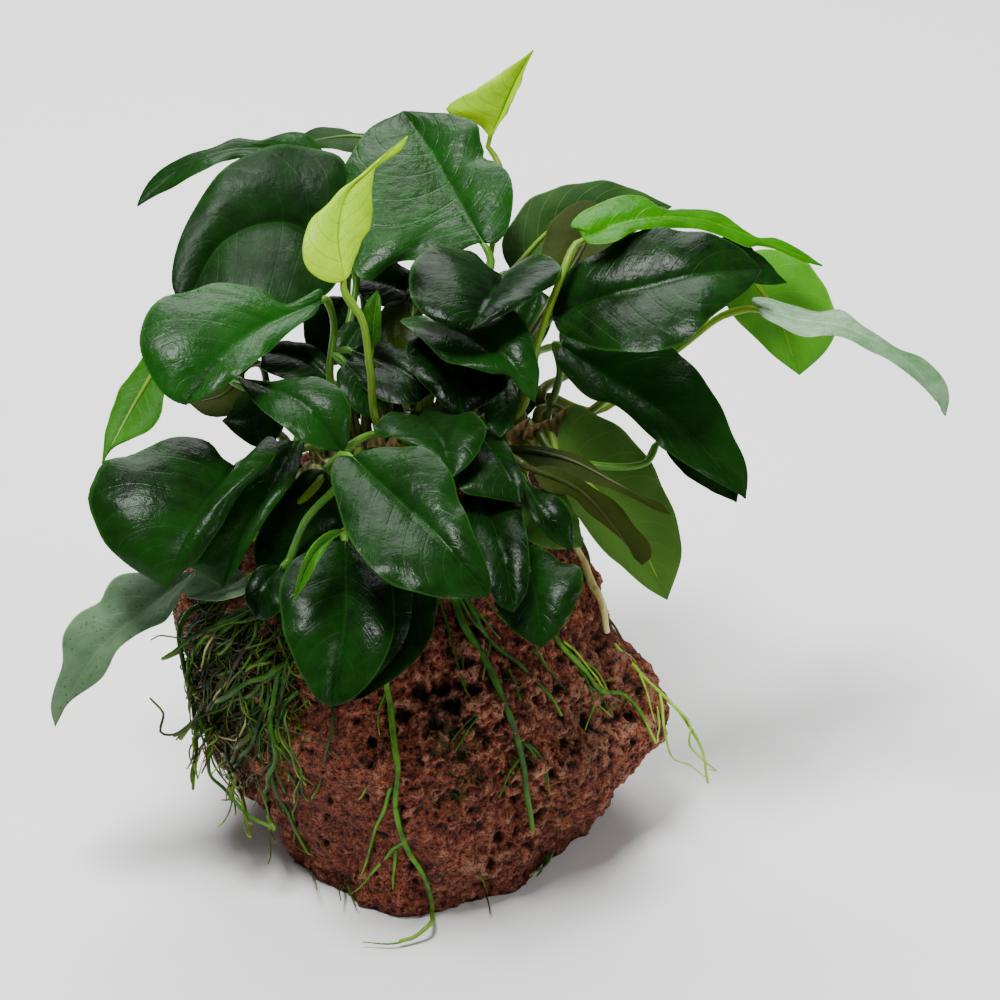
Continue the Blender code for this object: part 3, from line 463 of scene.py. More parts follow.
leaf("small_underside", 0.82,
     [(530, 490, -4), (555, 520, 2), (583, 547, 0)],
     [(515, 505), (516, 525), (528, 540), (545, 548), (565, 549)],
     [(555, 488), (572, 505), (580, 528)], underside=True, colour="under", tone=0.2)
leaf("big_right", 0.83,
     [(552, 316, 2), (600, 298, 8), (650, 287, 10), (700, 275, 10), (762, 269, 2)],
     [(553, 300), (560, 280), (572, 268), (590, 255), (615, 243), (640, 232), (665, 228),
      (700, 231), (725, 240), (745, 253)],
     [(560, 333), (580, 343), (610, 351), (640, 353), (660, 351), (690, 338), (712, 317),
      (735, 300), (752, 285)], tone=-0.25)
leaf("drooping_right", 0.90,
     [(560, 345, -10), (620, 385, -4), (680, 425, 2), (746, 499, 4)],
     [(556, 360), (572, 382), (592, 400), (612, 404), (645, 430), (672, 455), (715, 481),
      (735, 492)],
     [(575, 330), (620, 325), (660, 335), (683, 355), (705, 383), (732, 430), (747, 470)],
     via=[(549, 405, -15), (560, 372, -13)], tone=0.3)
leaf("tucked_right", 0.86,
     [(664, 444, -12), (700, 470, -12), (737, 502, -10)],
     [(668, 455), (690, 478), (720, 495)],
     [(685, 440), (720, 460), (738, 485)],
     via=[(552, 452, -3), (580, 463, -3), (645, 463, -10)], tilt=1.0, tone=-0.2)
leaf("underside_right", 0.90,
     [(558, 459, -8), (604, 500, -16), (640, 545, -23), (667, 600, -25)],
     [(553, 474), (562, 493), (580, 520), (600, 547), (620, 565), (645, 587)],
     [(558, 440), (562, 420), (572, 405), (600, 415), (625, 430), (645, 458),
      (662, 485), (678, 520), (681, 550), (676, 575)],
     underside=True, colour="under", tilt=0.5, tone=0.8)
leaf("lime_arching", 0.68,
     [(583, 238, 6), (625, 222, 2), (690, 218, -6), (755, 238, -12), (823, 266, -16)],
     [(578, 230), (571, 226), (580, 213), (598, 204), (628, 196), (645, 198), (655, 206),
      (668, 209), (682, 207), (722, 215), (745, 232), (757, 238), (775, 237), (800, 250)],
     [(588, 243), (603, 244), (618, 241), (632, 232), (650, 229), (680, 227), (720, 236),
      (735, 243), (750, 247), (758, 245), (775, 249), (805, 262)],
     via=[(517, 415, -4), (540, 335, 8), (562, 275, 8)], colour="lime", tilt=1.2, tone=0.1)
leaf("back_right", 0.73,
     [(512, 272, -32), (555, 228, -39), (610, 205, -45), (672, 207, -48)],
     [(503, 255), (502, 240), (512, 222), (530, 201), (555, 187), (580, 182), (610, 183),
      (640, 191)],
     [(530, 285), (570, 275), (610, 250), (645, 225)], underside=True, colour="under",
     tilt=0.6, tone=-0.7)
leaf("olive_back", 0.79,
     [(560, 290, -22), (585, 245, -29), (600, 204, -34)],
     [(545, 278), (540, 258), (545, 235), (556, 217), (572, 204), (586, 201)],
     [(590, 285), (612, 262), (618, 235)], underside=True, colour="olive")
leaf("pale_right", 0.99,
     [(738, 264, -24), (775, 312, -26), (799, 375, -28)],
     [(725, 275), (722, 295), (735, 318), (755, 338), (775, 357)],
     [(755, 250), (785, 252), (812, 268), (828, 290), (836, 320), (833, 340), (818, 360)],
     via=[(600, 410, -32), (700, 305, -22)], underside=True, colour="lime", tone=1.0)
leaf("twisted_right", 0.93,
     [(757, 307, -6), (800, 319, -2), (835, 324, 1), (870, 338, 4), (912, 366, 6),
      (946, 416, 6)],
     [(752, 299), (765, 298), (790, 305), (818, 311), (840, 310), (865, 328), (900, 348),
      (925, 360), (945, 382), (949, 398)],
     [(762, 316), (778, 325), (806, 337), (836, 336), (870, 350), (900, 368), (937, 401),
      (942, 410)],
     via=[(580, 416, -23), (622, 386, -25), (678, 349, -20), (722, 316, -12)],
     colour="grey", tilt=1.3, look="silver")
leaf("small_right", 0.955,
     [(715, 240, -12), (750, 258, -14), (787, 283, -16)],
     [(730, 236), (755, 250), (775, 270)],
     [(712, 256), (735, 278), (770, 285)],
     via=[(572, 372, -29), (680, 290, -23)], tone=0.1)
leaf("olive_rolled", 0.75,
     [(510, 450, -5), (570, 462, 2), (620, 487, 8), (671, 515, 8)],
     [(522, 446), (545, 447), (585, 458), (605, 475), (640, 496), (660, 503)],
     [(518, 462), (540, 470), (575, 478), (605, 487), (635, 499), (655, 510)],
     underside=True, colour="olive", tilt=1.0)
leaf("olive_right", 0.71,
     [(530, 470, 10), (580, 492, 10), (612, 525, 5), (642, 565, 0)],
     [(545, 490), (572, 497), (590, 515), (610, 530), (627, 545), (634, 558)],
     [(545, 466), (572, 474), (594, 488), (620, 506), (634, 525), (650, 545), (651, 557)],
     via=[(506, 452, 6)], underside=True, colour="olive")
leaf("hanging_left", 0.01,
     [(165, 355, -19), (135, 405, -15), (102, 464, -8)],
     [(150, 350), (135, 368), (120, 390), (108, 420), (104, 445)],
     [(178, 375), (165, 393), (161, 415), (150, 430), (130, 440), (110, 450)],
     via=[(250, 418, -25)], underside=True, colour="lime", tone=-0.5)
leaf("pale_inner_left", 0.11,
     [(245, 372, -15), (225, 395, -15), (190, 404, -15)],
     [(222, 378), (200, 392)],
     [(243, 398), (232, 415), (205, 415)], via=[(272, 402, -22), (262, 366, -21)], underside=True,
     colour="olive")
leaf("small_left", 0.115,
     [(275, 395, -7), (250, 415, -9), (222, 421, -10)],
     [(262, 385), (240, 392), (232, 410)],
     [(285, 425), (262, 448), (240, 438)], tone=-0.2)
leaf("grey_inner", 0.285,
     [(352, 296, -30), (330, 325, -27), (328, 366, -24)],
     [(325, 298), (306, 310), (304, 330), (308, 350)],
     [(358, 310), (357, 335), (345, 362)], via=[(366, 335, -34), (362, 292, -37)], tone=-0.2)
leaf("hidden_left", 0.175,
     [(331, 380, -17), (300, 357, -20), (262, 352, -21)],
     [(325, 355), (300, 342), (278, 342)],
     [(320, 385), (290, 380), (262, 368)], tone=-0.3)
leaf("low_dark", 0.215,
     [(282, 565, 12), (262, 590, 17), (256, 618, 17)],
     [(262, 566), (248, 580), (246, 602)],
     [(285, 585), (280, 610), (266, 620)], via=[(338, 486, 17), (306, 520, 14)], tone=-0.8)
leaf("green_inner", 0.66,
     [(500, 375, -4), (503, 405, 4), (500, 438, 10)],
     [(487, 382), (484, 405), (488, 428)],
     [(515, 385), (518, 405), (512, 428)], tone=0.4)
leaf("shaded_right", 0.64,
     [(486, 414, -26), (510, 396, -29), (536, 385, -32)],
     [(474, 395), (485, 374), (512, 365)],
     [(500, 428), (520, 422), (538, 402)], tone=-0.8)
# Three leaves at the back, which the front view can't show: a crown has leaves all round.
leaf("rear_left", 0.33,
     [(385, 318, -38), (362, 318, -62), (345, 345, -84)],
     [(365, 308), (325, 312), (318, 335)],
     [(400, 318), (398, 330), (372, 352)], tilt=0.3, tone=-0.1)
leaf("rear_middle", 0.57,
     [(452, 300, -42), (450, 288, -62), (456, 306, -82)],
     [(430, 292), (412, 290), (425, 308)],
     [(475, 295), (492, 290), (482, 310)], tilt=0.3, tone=0.1)
leaf("rear_right", 0.87,
     [(560, 345, -44), (590, 335, -66), (625, 362, -86)],
     [(560, 330), (590, 312), (620, 335)],
     [(560, 362), (580, 372), (605, 375)], tilt=0.5, tone=0.2)
# Small leaves in the shaded heart of the crown, which no solid stands for.
leaf("dark_inner", 0.35,
     [(362, 322, -18), (348, 345, -14), (340, 363, -12)],
     [(348, 322), (335, 335), (332, 350)],
     [(364, 335), (360, 352)])
leaf("olive_inner", 0.40,
     [(405, 300, -24), (395, 330, -20), (400, 365, -16)],
     [(385, 305), (378, 330), (385, 355)],
     [(420, 310), (425, 335), (415, 358)], colour="olive")
leaf("curled_young", 0.42,
     [(372, 350, 4), (374, 320, 8), (378, 290, 6)],
     [(364, 340), (362, 320), (368, 300)],
     [(380, 340), (381, 318), (381, 300)], colour="light", tilt=0.1, girth=0.7)
leaf("low_grey", 0.03,
     [(248, 575, 8), (222, 588, 12), (186, 597, 10)],
     [(230, 568), (205, 570), (188, 582)],
     [(246, 592), (225, 600), (200, 600)], via=[(285, 520, 5)], colour="grey")
leaf("inner_left", 0.34,
     [(345, 362, -1), (362, 385, 2), (378, 420, 5)],
     [(336, 375), (345, 400), (362, 415)],
     [(360, 362), (376, 380), (380, 400)])
leaf("under_crown", 0.50,
     [(428, 303, -27), (392, 284, -30), (350, 276, -32)],
     [(420, 280), (392, 260), (362, 258)],
     [(425, 314), (395, 310), (364, 298)], tone=-0.5)
leaf("behind_right", 0.63,
     [(518, 356, -27), (526, 325, -29), (540, 290, -31)],
     [(506, 348), (500, 322), (516, 296)],
     [(534, 352), (550, 328), (554, 302)], tone=0.3)
# Tones near -1 on these two are painted shade, deep in the crown.
leaf("deep_left", 0.37,
     [(428, 424, -25), (390, 404, -29), (343, 392, -33)],
     [(416, 398), (388, 380), (354, 378)],
     [(420, 442), (388, 430), (350, 412)], tone=-0.9)
leaf("deep_right", 0.52,
     [(436, 436, -25), (470, 408, -29), (506, 392, -32)],
     [(430, 408), (458, 388), (490, 380)],
     [(452, 444), (482, 432), (505, 412)], tone=-0.9)
tones = [row["tone"] for row in LEAVES]
print(len(LEAVES), "leaves are noted, with tones from", min(tones), "to", max(tones))


def solid_of(name):
    """The solid of this name in a list, or none: a few small pieces have no solid."""
    return [name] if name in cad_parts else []

# %% The main roots
# Main roots in the front view. Points on the stone are given across and down only, and drop onto
# it. Points in the free air have a depth too. The radius, in mm, is that at the root's start.
ROOTS = []


def root(name, radius_mm, on_stone, free=(), kind="green"):
    """Note one root: first the points that lie on the stone, then the ones in the air."""
    ROOTS.append(dict(name=name, radius_mm=radius_mm, on_stone=on_stone, free=free, kind=kind))


root("front", 1.1,
     [(385, 600), (384, 640), (386, 685), (391, 712), (397, 760), (399, 812), (405, 840),
      (418, 862), (429, 890), (432, 908)],
     free=[(428, 925, 2), (414, 937, 3), (400, 941, 4)], kind="stout")
root("right_thick", 1.4,
     [(452, 590), (460, 618), (480, 655), (498, 690), (508, 715), (518, 745), (524, 785),
      (530, 831)])
root("far_right", 0.9,
     [(548, 625), (558, 645), (582, 672), (598, 690), (622, 694)],
     free=[(643, 718, -20), (656, 743, -15)], kind="stout")
root("pale_right", 1.6,
     [(571, 548), (580, 565)],
     free=[(592, 585, -15), (602, 604, -16), (607, 632, -18)], kind="cream")
root("free_right", 0.7,
     [(612, 645)],
     free=[(628, 660, -22), (650, 684, -19), (680, 712, -15), (699, 745, -13), (708, 783, -13)],
     kind="fresh")
root("left_long", 0.9,
     [(242, 634), (232, 660), (222, 695)],
     free=[(224, 730, -14), (231, 765, -15), (243, 800, -14), (251, 837, -12)], kind="olive")
root("left_edge", 0.9,
     [(208, 604)],
     free=[(190, 612, -9), (178, 636, -7), (184, 668, -8), (192, 700, -8), (196, 745, -8),
           (193, 789, -8)])
root("left_out", 0.8,
     [(256, 612)],
     free=[(230, 620, 4), (205, 630, 4), (184, 642, 3), (162, 659, 2)])
root("left_hook", 0.6,
     [(250, 690)],
     free=[(224, 706, -5), (200, 716, -4), (174, 736, -3), (161, 734, -3), (163, 713, -3),
           (150, 698, -3)], kind="olive")
# Three more that no solid stands for.
root("second", 0.9,
     [(458, 590), (472, 612), (490, 640), (520, 668), (543, 690), (560, 715)])
root("left_front", 1.0,
     [(262, 618), (262, 660), (255, 700), (262, 745), (280, 790)])
root("left_inner", 1.0,
     [(285, 640), (285, 680), (276, 720), (274, 770), (290, 810), (312, 852)])
print(len(LEAVES), "leaves and", len(ROOTS), "main roots are planned")

# %% [markdown]
# ## A leaf: a sheet half a millimetre thick on a round stalk
# A real blade is about 0.5 mm thick, thinner at its margin, with a midrib that is sunk above and
# stands proud below. We could bend a plane with curve modifiers, but every blade here has its own
# outline. So each blade is a grid of points: rows across it run from margin to margin, and
# columns along it run from base to tip. Each point then moves along the surface's own normal, for
# the wavy margin, the soft swelling between the side veins, and the midrib. An upper and a lower
# face close into one thin solid. The stalk is a shoot that goes on as the midrib under the blade.

# %% Real sizes of blade and stalk, in mm
BLADE_MM = 0.5
BLADE_CUP = 0.12
MARGIN_THINNING = 0.6
MIDRIB_SUNK_MM = 0.3
MIDRIB_WIDTH_MM = 1.3
SWELL_MM = 0.05
SIDE_VEINS = 9
VEIN_SLANT = 2.4
VEIN_CURVE = 1.35
MARGIN_WAVE_MM = 0.7
BLADE_STEP_MM = 0.85
PETIOLE_RADIUS_MM = 1.0
PETIOLE_RISE_MM = 7.0
PETIOLE_APPROACH_MM = (5.0, 3.0)
PETIOLE_BOW = 0.08
SHORT_PETIOLE_MM = 25.0
GROWTH_GAP_MM = 0.7
BLADE_ROWS = (22, 72)
HALF_COLUMNS = (7, 20)
ROW_ANGLES = (0.09, 3.05)
LONG_WAVE, SHORT_WAVE = 17, 37
LEAF_PHASE, HALF_PHASE = 2.4, 1.7
FULL_WAVE_WIDTH_MM = 30
FOOT_SWELL, FOOT_END = 0.45, 0.22
KNEE_SWELL, KNEE_AT, KNEE_LENGTH = 0.22, 0.9, 0.06
STALK_POINTS = 30
STALK_CORNERS = 10
SPINE_END = 0.86
print("a blade is", BLADE_MM, "mm thick, and a stalk", 2 * PETIOLE_RADIUS_MM, "mm across")


# %% The blade's middle sheet
def blade_sheet(row, shares, steps):
    """Points in mm: one line across, from margin -1 to margin 1, at each share of its length."""
    middle = smooth_curve(row["midrib"], shares)
    halves = []
    for side, fold in zip(("left", "right"), row["fold"]):
        margin = smooth_curve([row["midrib"][0][:2]] + row[side] + [row["midrib"][-1][:2]],
                              shares)
        reach = np.hypot(*(margin - middle[:, :2]).T) * MM_PER_STEP
        rise = (middle[:, 1] - margin[:, 1]) * MM_PER_STEP
        halves.append((margin, middle[:, 2] - row["tilt"] * rise + fold * reach, reach))
    lines = []
    for step in steps:
        margin, depth, reach = halves[1 if step > 0 else 0]
        a = abs(step)
        place = middle[:, :2] * (1 - a) + margin * a
        toward = middle[:, 2] * (1 - a) + depth * a + BLADE_CUP * reach * 4 * a * (1 - a)
        lines.append(seen_at(place[:, 0], place[:, 1], toward))
    return np.transpose(np.array(lines), (1, 0, 2))


def sheet_normals(sheet):
    """Unit normals of a grid of points, from its directions across and along."""
    return unit(np.cross(unit(np.gradient(sheet, axis=1)), unit(np.gradient(sheet, axis=0))))


trial_sheet = blade_sheet(LEAVES[0], np.linspace(0.01, 0.99, 9), np.linspace(-1, 1, 7))
print(LEAVES[0]["name"], "is", round(length_of(trial_sheet[:, 3])), "mm long and",
      round(max(length_of(line) for line in trial_sheet)), "mm wide")


# %% The stalk's route
def petiole_route(row, base, along, upper):
    """Points in mm of the stalk: off the rhizome, up through its places, into the blade's base."""
    foot = rhizome_point(row["crown"])
    axis = unit(rhizome_point(min(1, row["crown"] + 0.05))
                - rhizome_point(max(0, row["crown"] - 0.05)))
    via = [seen_at(*p) for p in row["via"]]
    aim = (via[0] if via else base) - foot
    aim = unit(unit(aim - (aim @ axis) * axis) + np.array([0, 0, 0.5]))
    start = foot + aim * (RHIZOME_RADIUS_MM + GROWTH_GAP_MM)
    ease = min(1, np.linalg.norm((via[-1] if via else start) - base) / SHORT_PETIOLE_MM)
    rise = start + aim * PETIOLE_RISE_MM * ease
    back, under = PETIOLE_APPROACH_MM
    approach = base - (along * back + upper * under) * ease
    if not via:
        bow = PETIOLE_BOW * np.linalg.norm(base - rise)
        via = [0.5 * (rise + approach) + np.array([0, 0, bow])]
    foot_inside = start - aim * GROWTH_GAP_MM * 2
    return [foot_inside, rise] + via + [approach, base]


# %% One whole leaf
def build_leaf(row, number):
    """The piece of one leaf: finish 0 is its blade, finish 1 its stalk and midrib."""
    piece = Piece(row["name"] + "_leaf")
    trial = blade_sheet(row, np.linspace(0.01, 0.99, 9), np.linspace(-1, 1, 7))
    length = length_of(trial[:, 3])
    width = max(length_of(line) for line in trial)
    rows = int(np.clip(length / BLADE_STEP_MM, *BLADE_ROWS))
    half = int(np.clip(width / 2 / BLADE_STEP_MM, *HALF_COLUMNS))
    shares = 0.5 - 0.5 * np.cos(np.linspace(*ROW_ANGLES, rows))
    steps = np.sin(np.linspace(-math.pi / 2, math.pi / 2, 2 * half + 1))
    sheet = blade_sheet(row, shares, steps)
    normals = sheet_normals(sheet)
    up = 1.0 if (np.mean(normals @ TOWARD) > 0) != row["underside"] else -1.0
    normals *= up
    v, u = np.meshgrid(shares, steps, indexing="ij")
    side = np.abs(u)
    phase = number * LEAF_PHASE + np.where(u > 0, HALF_PHASE, 0.0)
    wave = MARGIN_WAVE_MM * min(1, width / FULL_WAVE_WIDTH_MM) * side ** 3 * (
        np.sin(v * LONG_WAVE + phase)
        + 0.5 * np.sin(v * SHORT_WAVE + 2 * phase)) * np.sin(math.pi * v)
    ribs = v * SIDE_VEINS - VEIN_SLANT * side ** VEIN_CURVE
    swell = SWELL_MM * np.cos(2 * math.pi * ribs) * -1 * np.sin(math.pi * np.minimum(side, 1))
    from_midrib = np.linalg.norm(sheet - sheet[:, half:half + 1], axis=2)
    rib = np.exp(-(from_midrib / MIDRIB_WIDTH_MM) ** 2) * (1 - 0.7 * v)
    thickness = BLADE_MM * (1 - MARGIN_THINNING * side ** 6)
    middle = sheet + normals * wave[..., None]
    upper = middle + normals * (thickness / 2 + swell - MIDRIB_SUNK_MM * rib)[..., None]
    lower = middle - normals * (thickness / 2 - swell * 0.6 + 0.2 * rib)[..., None]
    place = np.stack([u, v, np.full(u.shape, row["tone"])], axis=2).reshape(-1, 3)
    faces = closed_sheet(rows, 2 * half + 1)
    if up < 0:
        faces = faces[:, ::-1]
    both = np.vstack([upper.reshape(-1, 3), lower.reshape(-1, 3)])
    piece.add(both, faces.tolist(), 0, np.vstack([place, place]))
    piece.face_side[-1][len(place):] = 0.0
    thick = PETIOLE_RADIUS_MM * row["girth"]
    spine_radii = thick * 0.78 * (1 - 0.72 * np.minimum(shares / SPINE_END, 1))
    spine = middle[:, half] - normals[:, half] * spine_radii[:, None]
    along = unit(spine[2] - spine[0])
    route = petiole_route(row, seen_at(*row["midrib"][0]), along, normals[1, half])
    up_stalk = np.linspace(0, 1, STALK_POINTS)
    stalk = smooth_curve(route, up_stalk)
    taper = np.linspace(1.15, 0.85, STALK_POINTS)
    sheath = 1 + FOOT_SWELL * np.clip(1 - up_stalk / FOOT_END, 0, 1)
    knee = 1 + KNEE_SWELL * np.exp(-((up_stalk - KNEE_AT) / KNEE_LENGTH) ** 2)
    keep = shares < SPINE_END
    line = np.vstack([stalk[:-1], spine[keep][1:]])
    radii = np.concatenate([(thick * taper * sheath * knee)[:-1], spine_radii[keep][1:]])
    points, tube_faces = shoot(line, radii, STALK_CORNERS)
    piece.add(points, tube_faces, 1, shoot_place(line, STALK_CORNERS, row["tone"]))
    return piece, length, width


test_piece, test_length, test_width = build_leaf(LEAVES[0], 0)
print(test_piece.name, "has", len(test_piece.faces), "faces,", round(test_length), "by",
      round(test_width), "mm")

# %% [markdown]
# ## Finish: the waxy blade of a leaf
# A leaf is cellulose with a thin coat of plant wax (a cuticle, IOR about 1.45). To the eye that
# gives a deep green that is almost black in the shade, and a pale sheen where a lamp is mirrored.
# The sheen isn't even: the side veins and the finer veins between them break it into streaks that
# run out to the margin, and the wax is glossier in some streaks than in others. We read the place
# on the blade (across and along) that each point carries, and draw the veins from it, so they
# always fit the leaf. Above, the veins are a little lighter than the blade. Below, the whole
# blade is paler and duller, because the wax is thinner there. The drops of water that lay on the
# plant in the photograph aren't part of it, so we leave them out.

# %% Names for the sockets of a colour mix
FACTOR, COLOUR_A, COLOUR_B, MIXED = 0, 6, 7, 2
PER_MM = 1 / MM
FINE_VEINS_PER_RIB = 5
SPECK_MM = 1.6
MOTTLE_MM = 5.0
PATCH_MM = 22.0
WAX_MM = 2.4
GRAIN_MM = 0.8
STREAKS_PER_RIB = 2.6
print("there are", SIDE_VEINS * FINE_VEINS_PER_RIB, "fine veins on each half of a blade")


# %% The pattern of veins
def vein_pattern(tree, across, along):
    """The count of side veins, and sockets that are 1 on each kind of vein and on the margin."""
    side = add_node(tree, "Math", {0: across}, operation="ABSOLUTE").outputs[0]
    bent = add_node(tree, "Math", {0: side, 1: VEIN_CURVE}, operation="POWER").outputs[0]
    back = add_node(tree, "Math", {0: bent, 1: -VEIN_SLANT}, operation="MULTIPLY").outputs[0]
    ribs = add_node(tree, "Math", {0: along, 1: SIDE_VEINS, 2: back},
                    operation="MULTIPLY_ADD").outputs[0]
    lines = []
    for count, sharpness in ((1, 0.93), (FINE_VEINS_PER_RIB, 0.2)):
        turn = add_node(tree, "Math", {0: ribs, 1: 2 * math.pi * count},
                        operation="MULTIPLY").outputs[0]
        crest = add_node(tree, "Math", {0: turn}, operation="COSINE").outputs[0]
        lines.append(add_node(tree, "MapRange", {0: crest, 1: sharpness, 2: 1.0},
                              interpolation_type="SMOOTHSTEP").outputs[0])
    midrib = add_node(tree, "MapRange", {0: side, 1: 0.045, 2: 0.01},
                      interpolation_type="SMOOTHSTEP").outputs[0]
    margin = add_node(tree, "MapRange", {0: side, 1: 0.945, 2: 0.985},
                      interpolation_type="SMOOTHSTEP").outputs[0]
    return ribs, lines[0], lines[1], midrib, margin


print("a side vein ends", VEIN_SLANT, "ribs nearer the tip than it starts")


# %% The finish of a blade
def waxy_leaf(name, blade, deep, vein, under, glow=0.0, gloss=0.2, speck=0.0, rim=0.4,
              lines=1.0, sheen=0.11, quilt=1.4):
    """A leaf's finish from four greens; glow is light through it, quilt how uneven it lies."""
    made, tree = new_material(name)
    across, along, tone, where = point_values(tree)
    upper = add_node(tree, "Attribute", attribute_name="face_side").outputs["Fac"]
    ribs, side_vein, fine_vein, midrib, margin = vein_pattern(tree, across, along)
    mottle = add_node(tree, "TexNoise", {"Vector": where, "Scale": PER_MM / MOTTLE_MM,
                                         "Detail": 5.0, "Roughness": 0.6}).outputs["Fac"]
    patch = add_node(tree, "TexNoise", {"Vector": where, "Scale": PER_MM / PATCH_MM,
                                        "Detail": 2.0}).outputs["Fac"]
    both = add_node(tree, "Math", {0: mottle, 1: patch}, operation="ADD").outputs[0]
    # The tone darkens or lightens the blade: leaf-to-leaf green, and painted shade near -1.
    lighter = add_node(tree, "Math", {0: tone, 1: 0.5, 2: -0.5},
                       operation="MULTIPLY_ADD").outputs[0]
    light = add_node(tree, "Math", {0: both, 1: lighter}, use_clamp=True).outputs[0]
    green = add_node(tree, "Mix", {FACTOR: light, COLOUR_A: linear(deep),
                                   COLOUR_B: linear(blade)}, data_type="RGBA").outputs[MIXED]
    paler = add_node(tree, "Math", {0: tone, 1: 0.5, 2: patch}, operation="MULTIPLY_ADD",
                     use_clamp=True).outputs[0]
    below = add_node(tree, "Mix", {FACTOR: paler, COLOUR_A: linear(deep),
                                   COLOUR_B: linear(under)}, data_type="RGBA").outputs[MIXED]
    drawn = add_node(tree, "Mix", {FACTOR: upper, COLOUR_A: below, COLOUR_B: green},
                     data_type="RGBA").outputs[MIXED]
    # The line on the margin is a painted highlight: its lighter green is light the thin edge
    # catches.
    for line, share in ((fine_vein, 0.06 * lines), (side_vein, 0.25 * lines),
                        (midrib, 0.6 * lines), (margin, rim)):
        amount = add_node(tree, "Math", {0: line, 1: share}, operation="MULTIPLY").outputs[0]
        drawn = add_node(tree, "Mix", {FACTOR: amount, COLOUR_A: drawn,
                                       COLOUR_B: linear(vein)}, data_type="RGBA").outputs[MIXED]
    spots = add_node(tree, "TexVoronoi", {"Vector": where, "Scale": PER_MM / SPECK_MM},
                     feature="F1").outputs["Distance"]
    spot = add_node(tree, "MapRange", {0: spots, 1: 0.22, 2: 0.08, 4: speck}).outputs[0]
    drawn = add_node(tree, "Mix", {FACTOR: spot, COLOUR_A: drawn, COLOUR_B: linear("#2a2412")},
                     data_type="RGBA").outputs[MIXED]
    wax = add_node(tree, "TexNoise", {"Vector": where, "Scale": PER_MM / WAX_MM,
                                      "Detail": 3.0}).outputs["Fac"]
    grain = add_node(tree, "TexNoise", {"Vector": where, "Scale": PER_MM / GRAIN_MM,
                                        "Detail": 2.0}).outputs["Fac"]
    run = add_node(tree, "Math", {0: ribs, 1: STREAKS_PER_RIB}, operation="MULTIPLY").outputs[0]
    way_out = add_node(tree, "CombineXYZ", {0: run, 1: across, 2: tone}).outputs[0]
    streak = add_node(tree, "TexNoise", {"Vector": way_out, "Scale": 1.0,
                                         "Detail": 4.0}).outputs["Fac"]
    height = add_node(tree, "Math", {0: wax, 1: 0.14 * quilt}, operation="MULTIPLY")
    for layer, depth in ((mottle, 0.25 * quilt), (grain, 0.035), (side_vein, -0.02 * quilt),
                         (fine_vein, -0.004), (streak, 0.06 * quilt)):
        height = add_node(tree, "Math", {0: layer, 1: depth, 2: height.outputs[0]},
                          operation="MULTIPLY_ADD")
    bump = add_node(tree, "Bump", {"Strength": 1.0, "Distance": MM,
                                   "Height": height.outputs[0]}).outputs[0]
    rough_above = add_node(tree, "MapRange", {0: streak, 1: 0.32, 2: 0.66, 3: gloss,
                                              4: gloss + 0.13}).outputs[0]
    rough = add_node(tree, "Mix", {FACTOR: upper, 2: gloss + 0.3, 3: rough_above}).outputs[0]
    shader = add_node(tree, "BsdfPrincipled", {
        "Base Color": drawn, "Roughness": rough, "Normal": bump, "IOR": 1.45,
        "Specular IOR Level": sheen, "Subsurface Weight": glow,
        "Subsurface Radius": (0.35, 1.0, 0.12), "Subsurface Scale": 0.6 * MM})
    add_node(tree, "OutputMaterial", {"Surface": shader.outputs[0]})
    return made


# %% The kinds of leaf
LEAF_FINISHES = {
    "dark": waxy_leaf("waxy leaf, bottle green", "#163f10", "#030c03", "#2a5a1e", "#2a5614",
                      gloss=0.18, lines=0.25, sheen=0.09, quilt=1.0),
    "wax": waxy_leaf("waxy leaf, thick wax", "#17480f", "#041004", "#2c6020", "#2a5614",
                     gloss=0.22, lines=0.3, sheen=0.14, quilt=1.4),
    "matt": waxy_leaf("waxy leaf, fine grained", "#143c0e", "#041004", "#2a5620", "#2a5614",
                      gloss=0.34, lines=0.3, sheen=0.1, quilt=1.2),
    # Painted sheen: the grey finish's pale grey green is partly the leaf's own colour, partly
    # sheen.
    "grey": waxy_leaf("waxy leaf, grey green, painted sheen", "#62805e", "#3a5638", "#8aa080", "#5c7a48",
                      gloss=0.34, speck=0.7, lines=0.25),
    # Painted sheen: the silver finish's pale green stands for light mirrored on a green leaf.
    "silver": waxy_leaf("waxy leaf, silver green, painted sheen", "#8cac88", "#2a6428", "#a4c09c", "#4c7c38",
                        gloss=0.24, lines=0.6, sheen=0.3, quilt=2.0),
    "light": waxy_leaf("leaf of the spring, fresh green", "#2c7006", "#164004", "#6fa83c",
                       "#3a8010", glow=0.15),
    "young": waxy_leaf("newest leaf, yellow green", "#b4dc04", "#90c402", "#5c8c0a", "#b4dc06",
                       glow=0.3, gloss=0.3, lines=1.3),
    "lime": waxy_leaf("leaf of last month, lime green", "#348004", "#1c5402", "#6cac20",
                      "#44861a", glow=0.15, lines=0.6),
    "under": waxy_leaf("underside, sage green", "#36621c", "#163810", "#5e8034", "#446a22",
                       glow=0.1, gloss=0.34, lines=0.8),
    "olive": waxy_leaf("old leaf, olive brown", "#2c3a06", "#141a02", "#46541a", "#303c08",
                       gloss=0.3, speck=0.4, lines=0.5, sheen=0.08),
}
LEAF_SLOTS = {"dark": "leaf_dark", "grey": "leaf_grey", "light": "leaf_young",
              "young": "leaf_young", "lime": "leaf_lime", "under": "leaf_underside",
              "olive": "leaf_olive"}
print(len(LEAF_FINISHES), "leaf finishes")

# %% [markdown]
# ## Finish: the stalk
# The stalk is green stem tissue: smooth, firm and a little see-through, with faint lines along
# it. It is brown and papery where it leaves the rhizome, and thicker there and at the knee under
# the blade.

# %% Stalk
STALK_LINES = 7
STALK_CLOUD_MM = 4.0


